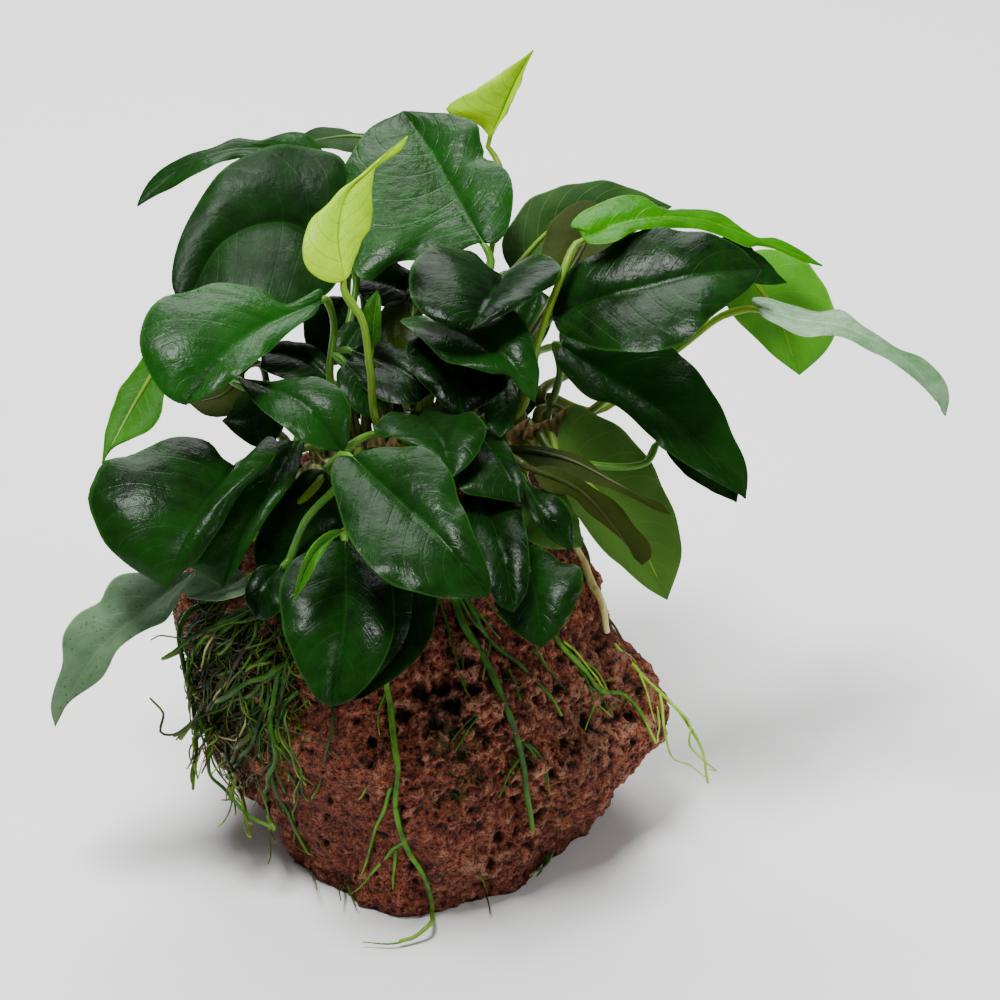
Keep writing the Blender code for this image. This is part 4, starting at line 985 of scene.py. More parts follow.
def stalk_finish(name, green, deep, foot):
    """A stalk's finish: two greens along its lines, and the brown of its foot."""
    made, tree = new_material(name)
    turn, share, tone, where = point_values(tree)
    cloud = add_node(tree, "TexNoise", {"Vector": where, "Scale": PER_MM / STALK_CLOUD_MM,
                                        "Detail": 4.0}).outputs["Fac"]
    angle = add_node(tree, "Math", {0: turn, 1: math.pi * STALK_LINES},
                     operation="MULTIPLY").outputs[0]
    line = add_node(tree, "Math", {0: angle}, operation="SINE").outputs[0]
    amount = add_node(tree, "Math", {0: line, 1: 0.18, 2: cloud}, operation="MULTIPLY_ADD",
                      use_clamp=True).outputs[0]
    lighter = add_node(tree, "Math", {0: tone, 1: 0.25, 2: amount}, operation="MULTIPLY_ADD",
                       use_clamp=True).outputs[0]
    body = add_node(tree, "Mix", {FACTOR: lighter, COLOUR_A: linear(deep),
                                  COLOUR_B: linear(green)}, data_type="RGBA").outputs[MIXED]
    low = add_node(tree, "MapRange", {0: share, 1: 0.28, 2: 0.0, 4: 0.85}).outputs[0]
    colour = add_node(tree, "Mix", {FACTOR: low, COLOUR_A: body, COLOUR_B: linear(foot)},
                      data_type="RGBA").outputs[MIXED]
    bump = add_node(tree, "Bump", {"Strength": 1.0, "Distance": 0.05 * MM,
                                   "Height": amount}).outputs[0]
    rough = add_node(tree, "MapRange", {0: cloud, 3: 0.28, 4: 0.46}).outputs[0]
    shader = add_node(tree, "BsdfPrincipled", {
        "Base Color": colour, "Roughness": rough, "Normal": bump, "IOR": 1.42,
        "Specular IOR Level": 0.3, "Subsurface Weight": 0.15, "Subsurface Radius": (0.5, 1.0, 0.2),
        "Subsurface Scale": 0.8 * MM})
    add_node(tree, "OutputMaterial", {"Surface": shader.outputs[0]})
    return made


STALK_FINISHES = {
    "dark": stalk_finish("stalk, mid green", "#5c8e2a", "#2a5a16", "#463c18"),
    "pale": stalk_finish("stalk, yellow green", "#7ca022", "#4c7412", "#3a3c10"),
    "olive": stalk_finish("stalk, olive", "#3c4a14", "#1c240a", "#302810"),
}
STALKS = {"young": "pale", "lime": "pale", "light": "pale", "under": "pale", "grey": "pale",
          "olive": "olive"}
print("stalk finishes:", ", ".join(STALK_FINISHES))

# %% Grow the leaves
leaf_pieces = []
for number, row in enumerate(LEAVES):
    piece, length, width = build_leaf(row, number)
    stalk = STALKS.get(row["colour"], "dark")
    finishes = [LEAF_FINISHES[row["look"]], STALK_FINISHES[stalk]]
    leaf_pieces.append(piece.build(finishes, LEAF_SLOTS[row["colour"]],
                                   solid_of("leaf_" + row["name"])))
print(len(leaf_pieces), "leaves with",
      sum(len(p.data.polygons) for p in leaf_pieces), "faces in all")

# %% [markdown]
# ## The stone: red lava, cut flat below
# Red lava rock is basalt foam. Gas bubbles froze in it, so it is full of round pores of all
# sizes, and where it broke their walls stand up as crumbs. A sculptor would push such a shape
# about by hand, and a displacement texture could do it at render time, but then the pits wouldn't
# be in the mesh. So we build the mesh from the stone's real outlines, level by level, and move
# each point along its normal: out for the crumbs, in for pores of three sizes, and deep for a few
# hollows.

# %% Outlines of the stone, in mm
# Level, centre of the level, and the reach from there every 30 degrees, from +X towards the back.
STONE_LEVELS_MM = [
    (0, (-3, 8), (46, 44, 42, 42, 42, 40, 38, 36, 41, 49, 45, 42)),
    (12, (-3, 8), (54, 48, 45, 44, 46, 47, 46, 43, 44, 51, 48, 49)),
    (30, (-3, 8), (62, 55, 49, 47, 50, 54, 56, 51, 49, 52, 50, 55)),
    (45, (-4, 8), (54, 50, 48, 47, 49, 54, 57, 52, 47, 49, 47, 49)),
    (61, (-5, 9), (48, 45, 44, 43, 47, 54, 58, 52, 45, 42, 42, 42)),
    (76, (-5, 16), (42, 42, 40, 38, 42, 48, 50, 42, 38, 34, 34, 37)),
    (88, (-4, 23), (29, 30, 30, 28, 30, 34, 35, 27, 22, 19, 21, 24)),
    (93, (-3, 26), (18, 19, 17, 15, 17, 19, 20, 14, 11, 9, 11, 14)),
]
STONE_CROWN_MM = 2.0
STONE_REACH_STEP = 30.0
STONE_ROUGHNESS_MM = 3.2
STONE_LUMP_SIZE_MM = 17.0
STONE_SMALL_LUMP_MM = 7.4
STONE_TURNS = 430
STONE_SIDE_ROWS = 158
STONE_TOP_ROWS = 24
STONE_FOOT_ROWS = 16
LEVEL_SOFTNESS_MM = 4.0
PORE_SIZES_MM = (4.4, 2.6, 1.9)
PORE_DEPTHS_MM = (1.3, 1.1, 0.8)
PIT_WALL = 0.7
PORE_RIM_LEAST = 0.08
BUBBLE_RIM = 1.4
CRUMB_SIZE_MM = 7.5
CRUMB_HEIGHT_MM = 0.95
CRUMB_FINENESS = 0.3
CRUMB_STEP = 2.2
CRUMB_OCTAVES = 5
FOLD_SIZE_MM = 1.5
FOLD_MM = 0.8
RELIEF_RISE_MM = 0.35
SHADE_REACH_STEPS = 4
SHADE_DEPTH_MM = 0.9
FOOT_PORE_MM = 0.8
# Broad hollows in the stone's side, and crags where the depth is below zero: turn in degrees,
# then height, radius and depth in mm.
STONE_HOLLOWS_MM = [
    (281, 60, 9, 3.4), (262, 54, 7, 2.4), (330, 42, 8, 3.0), (232, 56, 9, 3.2), (308, 25, 8, 2.6),
    (289, 36, 8, 1.6), (306, 66, 9, 2.8), (252, 18, 8, 1.8), (20, 50, 9, 3.0), (48, 24, 8, 2.6),
    (75, 62, 9, 3.0), (100, 38, 8, 2.4), (128, 20, 8, 2.2), (150, 58, 9, 3.0), (175, 36, 8, 2.6),
    (205, 62, 8, 2.2), (60, 80, 8, 2.2), (110, 76, 9, 2.4), (215, 26, 8, 2.0),
    (352, 29, 8, -3.0), (0, 40, 7, -2.4), (180, 59, 9, -4.2), (189, 38, 8, -3.0),
    (187, 19, 8, -4.2), (190, 7, 7, -3.4), (214, 9, 7, -3.6), (222, 0, 8, -2.6),
    (238, 0, 9, -2.4), (254, 0, 8, -2.2),
]
# Burst bubbles in the front view: across, down, radius and depth in mm.
STONE_BUBBLES = [(420, 692, 2.4, 3.4), (452, 706, 2.2, 3.2), (402, 716, 1.9, 2.8),
                 (436, 724, 1.6, 2.6), (590, 722, 2.2, 3.8), (540, 815, 2.0, 3.6),
                 (578, 700, 1.4, 2.6), (556, 690, 1.5, 2.6), (474, 690, 1.7, 2.8),
                 (530, 764, 1.4, 2.4), (610, 742, 1.3, 2.2), (500, 838, 1.4, 2.4),
                 (412, 866, 1.3, 2.0), (330, 800, 1.2, 1.8), (486, 742, 1.3, 2.2),
                 (508, 676, 1.5, 2.6), (536, 700, 1.4, 2.4), (612, 690, 1.6, 2.8),
                 (630, 716, 1.4, 2.4), (566, 742, 1.5, 2.6), (470, 724, 1.5, 2.6),
                 (552, 776, 1.4, 2.6), (372, 742, 1.2, 1.8), (516, 800, 1.3, 2.4),
                 (492, 866, 1.5, 2.6), (440, 764, 1.3, 2.2), (528, 844, 1.3, 2.2)]
# How broken the face is, from its place in the view: across, down, radius, and more or less.
STONE_RUGGED = [(440, 705, 60, 0.7), (600, 700, 60, 0.5), (505, 700, 50, 0.4),
                (555, 800, 50, 0.3), (320, 810, 65, -0.7), (400, 860, 60, -0.5),
                (360, 740, 50, -0.5)]
print("the stone is about", 2 * STONE_LEVELS_MM[2][2][0], "mm wide, and",
      STONE_LEVELS_MM[-1][0] + STONE_CROWN_MM, "mm high")


# %% The stone's broad form
def stone_outline(turns, heights):
    """Centres, reaches and outward ways of the stone's side, for each height and turn."""
    levels = [level[0] for level in STONE_LEVELS_MM]
    table = np.array([[*level[1], *level[2]] for level in STONE_LEVELS_MM], float)
    soft = np.mean([[np.interp(np.clip(heights + d, 0, levels[-1]), levels, column)
                     for column in table.T]
                    for d in (-LEVEL_SOFTNESS_MM, 0, LEVEL_SOFTNESS_MM)], axis=0)
    centre, reaches = soft[:2].T, soft[2:].T
    place = turns / STONE_REACH_STEP
    k = place.astype(int)
    t = place - k
    count = reaches.shape[1]
    a, b, c, d = (reaches[:, (k + n) % count] for n in (-1, 0, 1, 2))
    reach = b + 0.5 * t * (c - a + t * (2 * a - 5 * b + 4 * c - d + t * (3 * (b - c) + d - a)))
    way = np.stack([np.cos(np.radians(turns)), np.sin(np.radians(turns))], axis=1)
    return centre, reach, way


def stone_sides(turns, heights):
    """Points in mm of the stone's side, a row for each height and a column for each turn."""
    centre, reach, way = stone_outline(turns, heights)
    flat = centre[:, None] + reach[..., None] * way
    spots = np.dstack([flat, np.broadcast_to(heights[:, None], reach.shape)])
    lumps = np.array([
        noise.noise(Vector(spot) / STONE_LUMP_SIZE_MM)
        + 0.5 * noise.noise(Vector(spot) / STONE_SMALL_LUMP_MM)
        for spot in spots.reshape(-1, 3)]).reshape(reach.shape)
    reach = reach + STONE_ROUGHNESS_MM * lumps
    for turn, height, radius, depth in STONE_HOLLOWS_MM:
        middle, middle_reach, toward = stone_outline(np.array([float(turn)]),
                                                     np.array([float(height)]))
        hollow = np.array([*(middle[0] + middle_reach[0, 0] * toward[0]), height])
        away = np.linalg.norm(spots - hollow, axis=2)
        reach = reach - depth * np.exp(-(away / radius) ** 2)
    flat = centre[:, None] + reach[..., None] * way
    return np.dstack([flat, np.broadcast_to(heights[:, None], reach.shape)])


turns = np.arange(STONE_TURNS) * 360 / STONE_TURNS
side_rows = stone_sides(turns, np.linspace(0, STONE_LEVELS_MM[-1][0], STONE_SIDE_ROWS))
crown = np.array([*STONE_LEVELS_MM[-1][1], STONE_LEVELS_MM[-1][0] + STONE_CROWN_MM])
inward = np.linspace(0, 1, STONE_TOP_ROWS + 1)[1:, None, None]
top_rows = side_rows[-1] * (1 - inward) + crown * inward
top_rows[..., 2] = side_rows[-1][:, 2] + STONE_CROWN_MM * (1 - (1 - inward[..., 0]) ** 2)
foot_centre = np.array([*STONE_LEVELS_MM[0][1], 0.0])
outward_share = np.linspace(0, 1, STONE_FOOT_ROWS + 1)[:-1, None, None]
foot_rows = foot_centre + (side_rows[0] - foot_centre) * outward_share
broad = np.concatenate([foot_rows, side_rows, top_rows])
print("the stone's grid is", broad.shape[0], "rows by", broad.shape[1], "points")

# %% [markdown]
# ## Where a line of sight meets the stone
# Roots, moss and hollows are placed in the front view, and must sit on the stone seen from any
# side. So we shoot a ray from the viewer through their place, and take the point where it meets
# the stone's solid, with the direction that the surface faces there.

# %% Rays onto the stone
stone_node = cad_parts["stone"]
stone_tree = BVHTree.FromPolygons(
    [v.co.copy() for v in stone_node.data.vertices],
    [tuple(p.vertices) for p in stone_node.data.polygons])
SIGHT_LINE_MM = 300.0
LIFT_TO_VIEWER = 0.4


def meets_stone(across, down):
    """The place in mm and the facing where a line of sight meets the stone, or None."""
    near = Vector(seen_at(across, down, SIGHT_LINE_MM) * MM)
    far = Vector(seen_at(across, down, -SIGHT_LINE_MM) * MM)
    hit, facing, _, _ = stone_tree.ray_cast(near, (far - near).normalized())
    return None if hit is None else (np.array(hit) / MM, np.array(facing))


def on_stone(across, down, lift_mm):
    """A place on the stone by its place in the view, lifted off it; near the edge if it misses."""
    met = meets_stone(across, down)
    if met is None:
        hit, facing, _, _ = stone_tree.find_nearest(Vector(seen_at(across, down, 0) * MM))
        met = (np.array(hit) / MM, np.array(facing))
    return met[0] + unit(met[1] + TOWARD * LIFT_TO_VIEWER) * lift_mm


print("the middle of the view meets the stone at", np.round(on_stone(450, 750, 0), 1))


# %% Spots in the view, and how strong each is
def spots_on_stone(points, rows):
    """For each row of spots, its strength at each point: full in the middle, fading outward."""
    shares = []
    for across, down, radius, strength in rows:
        far = np.linalg.norm(points - on_stone(across, down, 0), axis=1)
        shares.append(strength * np.exp(-(far / (radius * MM_PER_STEP)) ** 2))
    return np.array(shares)


# %% Pores, crumbs and burst bubbles
def pit_shape(distance, rim):
    """1 in the middle of a pore and 0 outside its rim, with a steep wall."""
    t = np.clip((rim - distance) / (PIT_WALL * rim), 0, 1)
    return t * t * (3 - 2 * t)


def weather_stone(rows):
    """Move points in and out; return them, painted light and shade from -1 to 1, and pores."""
    around = np.roll(rows, -1, axis=1) - np.roll(rows, 1, axis=1)
    upward = np.gradient(rows, axis=0)
    outward = unit(np.cross(around, upward))
    flat = rows.reshape(-1, 3)
    rugged = 1 + spots_on_stone(flat, STONE_RUGGED).sum(axis=0)
    move = np.full(len(flat), RELIEF_RISE_MM)
    depth = np.zeros(len(flat))
    folded = np.zeros(flat.shape)
    for n, point in enumerate(flat):
        spot = Vector(point)
        bent = spot + noise.noise_vector(spot / FOLD_SIZE_MM) * FOLD_MM
        folded[n] = bent
        crumbs = noise.fractal(spot / CRUMB_SIZE_MM, CRUMB_FINENESS, CRUMB_STEP, CRUMB_OCTAVES)
        move[n] += rugged[n] * CRUMB_HEIGHT_MM * crumbs
        for size, deep in zip(PORE_SIZES_MM, PORE_DEPTHS_MM):
            distances, middles = noise.voronoi(bent / size)
            chance = noise.cell(middles[0] * 9.7)
            rim = max(PORE_RIM_LEAST, 0.16 + 0.3 * chance + 0.2 * (rugged[n] - 1))
            hole = float(pit_shape(distances[0], rim))
            move[n] -= deep * hole
            depth[n] = max(depth[n], hole)
    for across, down, radius, deep in STONE_BUBBLES:
        far = np.linalg.norm(folded - on_stone(across, down, 0), axis=1) / radius
        bubble = pit_shape(far, BUBBLE_RIM)
        move -= deep * bubble
        depth = np.maximum(depth, bubble)
    move = move.reshape(rows.shape[:2])
    # The painted light and shade: how far each point stands above or below its neighbourhood, less
    # in the pores. The finish lightens the crests and darkens the hollows by it.
    around_it = sum(np.roll(move, k, axis=1) for k in range(-SHADE_REACH_STEPS,
                                                            SHADE_REACH_STEPS + 1))
    padded = np.pad(around_it, ((SHADE_REACH_STEPS, SHADE_REACH_STEPS), (0, 0)), mode="edge")
    width = 2 * SHADE_REACH_STEPS + 1
    blurred = sum(padded[k:k + len(move)] for k in range(width)) / width ** 2
    shade = (move - blurred) / SHADE_DEPTH_MM - 0.7 * depth.reshape(move.shape)
    return rows + outward * move[..., None], np.clip(shade, -1, 1), depth


weathered, relief, pore_depth = weather_stone(broad)
foot = STONE_FOOT_ROWS
foot_pores = pore_depth.reshape(broad.shape[:2])[:foot]
weathered[:foot, :, :2] = broad[:foot, :, :2]
weathered[:foot, :, 2] = foot_pores * FOOT_PORE_MM
weathered[foot, :, 2] = 0
weathered[..., 2] = np.maximum(weathered[..., 2], 0)
relief[:foot] = -foot_pores
print("points moved by", round(float(np.abs(weathered - broad).max()), 1), "mm at most")

# %% [markdown]
# ## Moss, algae and painted shade on the stone
# Years under water leave a green-black film of algae, and specks of moss on the front. The film's
# green-black is also laid where the leaves and roots shade the stone, as painted shade, and the
# stone is darker towards its foot. All are patches with ragged edges, so each is a few round
# spots in the front view, and the finish breaks up their edges with a noise. The right side and
# the foot have paler patches. The stone carries all this to its material: its second value is
# moss above zero and paleness below it, and its third is the film with its painted shade.

# %% Patches: across, down and radius in steps of the front view, and how much of each
MOSS_PATCHES = [(450, 745, 42, 0.7), (455, 790, 34, 0.6), (235, 650, 48, 1.0),
                (255, 720, 42, 0.9), (285, 690, 30, 0.5), (330, 640, 40, 0.5),
                (500, 620, 34, 0.5), (545, 640, 25, 0.6), (395, 850, 24, 0.4),
                (270, 800, 30, 0.6), (470, 700, 30, 0.5)]
# Paler patches on the right side and at the foot.
PALE_PATCHES = [(600, 725, 55, 1.0), (645, 700, 30, 0.8), (470, 872, 42, 0.7), (560, 680, 45, 0.5),
                (375, 770, 30, 0.3), (560, 790, 35, 0.5)]
# The film with its painted shade: partly algae, partly shade under the leaves and roots.
FILM_AND_SHADE_PATCHES = [(440, 712, 40, 0.9), (500, 690, 30, 0.7), (330, 800, 34, 0.5),
                 (430, 870, 36, 0.8), (520, 860, 30, 0.7), (585, 800, 26, 0.4),
                 (300, 760, 30, 0.6), (640, 650, 20, 0.5),
                 (380, 780, 30, 0.5), (490, 880, 24, 0.8), (210, 690, 30, 0.7)]

# The lowest few millimetres are darker towards the foot.
FOOT_DARKENING, FOOT_DARKENING_MM = 0.7, 14
stone_points = weathered.reshape(-1, 3)
moss, paleness, film_and_shade = (spots_on_stone(stone_points, patches).max(axis=0)
                     for patches in (MOSS_PATCHES, PALE_PATCHES, FILM_AND_SHADE_PATCHES))
film_and_shade = np.maximum(film_and_shade, FOOT_DARKENING * np.clip(1 - stone_points[:, 2] / FOOT_DARKENING_MM, 0, 1))
print("moss lies on", round(100 * float((moss > 0.2).mean())), "% of the stone")

# %% The stone's mesh
grid_rows, grid_turns = weathered.shape[:2]
ring = np.arange(grid_rows * grid_turns).reshape(grid_rows, grid_turns)
next_turn = np.roll(ring, -1, axis=1)
walls = np.stack([ring[1:-1], next_turn[1:-1], next_turn[2:], ring[2:]], axis=2)
first_wall = np.stack([np.broadcast_to(ring[0, :1], (grid_turns,)), next_turn[1], ring[1]],
                      axis=1)
stone_faces = walls[:-1].reshape(-1, 4).tolist()
stone_faces += first_wall.tolist()
last = ring[-1, 0]
stone_faces += [[int(i), int(j), int(last)] for i, j in zip(ring[-2], next_turn[-2])]
used = np.unique(np.concatenate([np.ravel(f) for f in stone_faces]))
renumber = np.zeros(grid_rows * grid_turns, int)
renumber[used] = np.arange(len(used))
stone_faces = [[int(renumber[i]) for i in f] for f in stone_faces]
stone_piece = Piece("lava_stone")
stone_piece.add(stone_points[used], stone_faces, 0,
                np.stack([relief.ravel(), moss - paleness, film_and_shade], axis=1)[used])
print("the stone has", len(stone_faces), "faces")

# %% [markdown]
# ## Finish: red lava
# The red is iron oxide, from scoria that cooled in air. It is a matt mineral (IOR about 1.5,
# roughness 0.7 to 0.95). Crests that stand above their surroundings are painted a lighter, pinker
# red, which is painted light, and each pore and pit is painted near-black, which is painted shade.
# A plain pattern of round dots looks like a sieve, but real foam is torn: its small pores are
# ragged and of every size. So we cut them out of a cloud noise at a fixed level, which leaves
# ragged spots, and push them in with the bump as well. The finest pores are about 0.3 mm, which
# the picture can't show, so the finest pattern is drawn at about 0.6 mm.

# %% Lava
# Clouds of colour: size in mm, detail and roughness of patches, crust, sieve, grain and tufts.
LAVA_CLOUDS = ((22.0, 3.0, 0.5), (2.6, 8.0, 0.8), (1.3, 4.0, 0.8), (0.6, 3.0, 0.8),
               (2.0, 4.0, 0.5))
LAVA_REDS = ((0.46, "#521c10"), (0.58, "#a84c30"), (0.7, "#ce7452"), (0.84, "#e8a480"))
LAVA_BUMP_MM = 2.0


def lava_rock(name):
    """Lava reds, painted light on crests, painted shade in pores, moss, film and painted shade."""
    made, tree = new_material(name)
    relief, mossy, film_and_painted_shade, where = point_values(tree)
    patch, crust, sieve, grain, tuft = (
        add_node(tree, "TexNoise", {"Vector": where, "Scale": PER_MM / size, "Detail": detail,
                                    "Roughness": roughness}).outputs["Fac"]
        for size, detail, roughness in LAVA_CLOUDS)
    # Paler patches lighten the red.
    pale_share = add_node(tree, "MapRange", {0: mossy, 1: 0.0, 2: -1.0, 4: 0.14}).outputs[0]
    # Painted light: points that stand above their neighbourhood are given a lighter red.
    crest = add_node(tree, "MapRange", {0: relief, 2: 0.8, 3: -0.08, 4: 0.14}).outputs[0]
    light = add_node(tree, "Math", {0: pale_share, 1: crest}, operation="ADD").outputs[0]
    for noise_value, factor in ((crust, 0.8), (grain, 0.5)):
        light = add_node(tree, "Math", {0: noise_value, 1: factor, 2: light},
                         operation="MULTIPLY_ADD").outputs[0]
    ramp = add_node(tree, "ValToRGB", {0: light})
    while len(ramp.color_ramp.elements) < len(LAVA_REDS):
        ramp.color_ramp.elements.new(0.5)
    for stop, (share, colour) in zip(ramp.color_ramp.elements, LAVA_REDS):
        stop.position = share
        stop.color = linear(colour)
    pits, pinholes = (
        add_node(tree, "MapRange", {0: value, 1: edge, 2: edge - 0.08, 4: depth},
                 interpolation_type="SMOOTHSTEP").outputs[0]
        for value, edge, depth in ((sieve, 0.48, 1.0), (grain, 0.46, 0.7)))
    deep = add_node(tree, "Math", {0: pits, 1: pinholes}, operation="MAXIMUM").outputs[0]
    browner = add_node(tree, "MapRange", {0: patch, 1: 0.35, 2: 0.7, 4: 0.4}).outputs[0]
    # Painted shade in the pores and pinholes: their spots are darkened towards near-black.
    painted_pore_shade = add_node(tree, "Math", {0: deep, 1: 0.85}, operation="MULTIPLY").outputs[0]
    # Painted shade in the pits: points that lie below their neighbourhood are darkened.
    hollow = add_node(tree, "MapRange", {0: relief, 1: -0.15, 2: -0.85, 4: 0.92}).outputs[0]
    colour = ramp.outputs[0]
    for share, tint in ((browner, "#60321c"), (painted_pore_shade, "#160805"), (hollow, "#140705")):
        colour = add_node(tree, "Mix", {FACTOR: share, COLOUR_A: colour,
                                        COLOUR_B: linear(tint)}, data_type="RGBA").outputs[MIXED]
    # First the film, partly algae and partly painted shade, then the moss.
    for amount, reach, tint in ((film_and_painted_shade, 0.6, "#10160e"), (mossy, 0.8, "#3c5212")):
        ragged = add_node(tree, "Math", {0: tuft, 1: amount}, operation="MULTIPLY").outputs[0]
        cover = add_node(tree, "MapRange", {0: ragged, 1: 0.26, 2: 0.42, 4: reach},
                         interpolation_type="SMOOTHSTEP").outputs[0]
        colour = add_node(tree, "Mix", {FACTOR: cover, COLOUR_A: colour,
                                        COLOUR_B: linear(tint)}, data_type="RGBA").outputs[MIXED]
    height = crust
    for layer, depth in ((sieve, 1.2), (grain, 0.7), (deep, -0.7)):
        height = add_node(tree, "Math", {0: layer, 1: depth, 2: height},
                          operation="MULTIPLY_ADD").outputs[0]
    bump = add_node(tree, "Bump", {"Strength": 1.0, "Distance": LAVA_BUMP_MM * MM,
                                   "Height": height}).outputs[0]
    rough = add_node(tree, "MapRange", {0: crust, 1: 0.3, 2: 0.7, 3: 0.7, 4: 0.95}).outputs[0]
    shader = add_node(tree, "BsdfPrincipled", {"Base Color": colour, "Roughness": rough,
                                               "Normal": bump, "IOR": 1.5,
                                               "Specular IOR Level": 0.35})
    add_node(tree, "OutputMaterial", {"Surface": shader.outputs[0]})
    return made


lava = lava_rock("red lava rock")
stone_object = stone_piece.build([lava], "stone", ["stone"], smooth_degrees=80)
print("stone done:", len(stone_object.data.polygons), "faces")

# %% [markdown]
# ## Finish: roots
# Young roots are green, because light reaches them under water. Older ones turn olive and brown,
# and carry a film of algae. All are firm and slightly waxy (roughness about 0.4), with a cloudy
# colour along their length. A thick new root is cream.

# %% Root finishes
ROOT_CLOUD_MM = 5.0
ROOT_SKIN_MM = 0.7


def root_finish(name, light, dark, tip):
    """A root's finish: two colours in clouds along it, and the colour of its growing tip."""
    made, tree = new_material(name)
    _, share, tone, where = point_values(tree)
    cloud = add_node(tree, "TexNoise", {"Vector": where, "Scale": PER_MM / ROOT_CLOUD_MM,
                                        "Detail": 5.0, "Roughness": 0.65}).outputs["Fac"]
    spread = add_node(tree, "MapRange", {0: cloud, 1: 0.35, 2: 0.65}).outputs[0]
    amount = add_node(tree, "Math", {0: tone, 1: 0.4, 2: spread}, operation="MULTIPLY_ADD",
                      use_clamp=True).outputs[0]
    body = add_node(tree, "Mix", {FACTOR: amount, COLOUR_A: linear(dark),
                                  COLOUR_B: linear(light)}, data_type="RGBA").outputs[MIXED]
    near_tip = add_node(tree, "MapRange", {0: share, 1: 0.75, 2: 1.0, 3: 0.0, 4: 0.7}).outputs[0]
    colour = add_node(tree, "Mix", {FACTOR: near_tip, COLOUR_A: body, COLOUR_B: linear(tip)},
                      data_type="RGBA").outputs[MIXED]
    skin = add_node(tree, "TexNoise", {"Vector": where, "Scale": PER_MM / ROOT_SKIN_MM,
                                       "Detail": 3.0}).outputs["Fac"]
    bump = add_node(tree, "Bump", {"Strength": 1.0, "Distance": 0.12 * MM,
                                   "Height": skin}).outputs[0]
    rough = add_node(tree, "MapRange", {0: cloud, 3: 0.32, 4: 0.55}).outputs[0]
    shader = add_node(tree, "BsdfPrincipled", {
        "Base Color": colour, "Roughness": rough, "Normal": bump, "IOR": 1.42,
        "Specular IOR Level": 0.3})
    add_node(tree, "OutputMaterial", {"Surface": shader.outputs[0]})
    return made


ROOT_FINISHES = {
    "green": root_finish("root, dark green", "#30600c", "#102806", "#5c841c"),
    "bright": root_finish("root, moss green", "#56781a", "#22400c", "#8c9a38"),
    "olive": root_finish("root, olive", "#3c4a14", "#181e08", "#6a6c24"),
    "brown": root_finish("root, brown", "#40280e", "#160c06", "#6a4e24"),
    "cream": root_finish("new root, cream", "#d8cc84", "#a09a4e", "#dcd69c"),
    "fresh": root_finish("new root, yellow green", "#98c42c", "#547c18", "#b8cc54"),
    "stout": root_finish("main root, leaf green", "#569018", "#1e4608", "#8cac34"),
}
print(len(ROOT_FINISHES), "root finishes")

# %% [markdown]
# ## Main roots
# The thick roots leave the rhizome, drop onto the stone and follow it down. Each keeps the route
# of its solid, but it is a living thing: it sways a little, swells and narrows, and sends out
# finer branches. We lay its middle line closer to the stone than the solid's, because this stone
# has pores and can be touched.

# %% Routes over the stone
ROOT_LAY = 0.75
ROOT_SLIM = 0.8
ROOT_SWAY_MM = 0.35
SWAY_LENGTH_MM = 9.0
SWAY_FADE = 8
ROUTE_STEP_MM, ROUTE_POINTS = 1.2, (8, 110)
SKIN_GAP_MM = 0.3
SWELLINGS = 23


def sway(line, amount, seed):
    """A line with small bends of its own, none at its ends."""
    share = np.linspace(0, 1, len(line))
    ends = np.minimum(1, np.minimum(share, 1 - share) * SWAY_FADE)
    bends = np.array([noise.noise_vector(Vector((p[0], p[1], p[2] + seed * 31)) / SWAY_LENGTH_MM)
                      for p in line])
    return line + bends * (amount * 2 * ends)[:, None]


def route_of(on, free, radius):
    """A root's middle line: places on the stone in the view, then places in the air."""
    points = [on_stone(x, y, radius * ROOT_LAY + SKIN_GAP_MM) for x, y in on]
    points += [seen_at(*p) for p in free]
    count = int(np.clip(length_of(np.array(points)) / ROUTE_STEP_MM, *ROUTE_POINTS))
    return smooth_curve(points, np.linspace(0, 1, count))


def add_root(piece, line, radius, finish, seed, end, corners, tone=0.0, sway_mm=ROOT_SWAY_MM):
    """Add one root to a piece: it tapers, sways, and has soft swellings."""
    line = sway(line, sway_mm, seed)
    share = np.linspace(0, 1, len(line))
    radii = radius * (1 - (1 - end) * share) * (1 + 0.07 * np.sin(share * SWELLINGS + seed))
    points, faces = shoot(line, radii, corners)
    piece.add(points, faces, finish, shoot_place(line, corners, tone))


root_length = sum(length_of(route_of(r["on_stone"], r["free"], r["radius_mm"])) for r in ROOTS)
print("the main roots are", round(root_length), "mm long together")

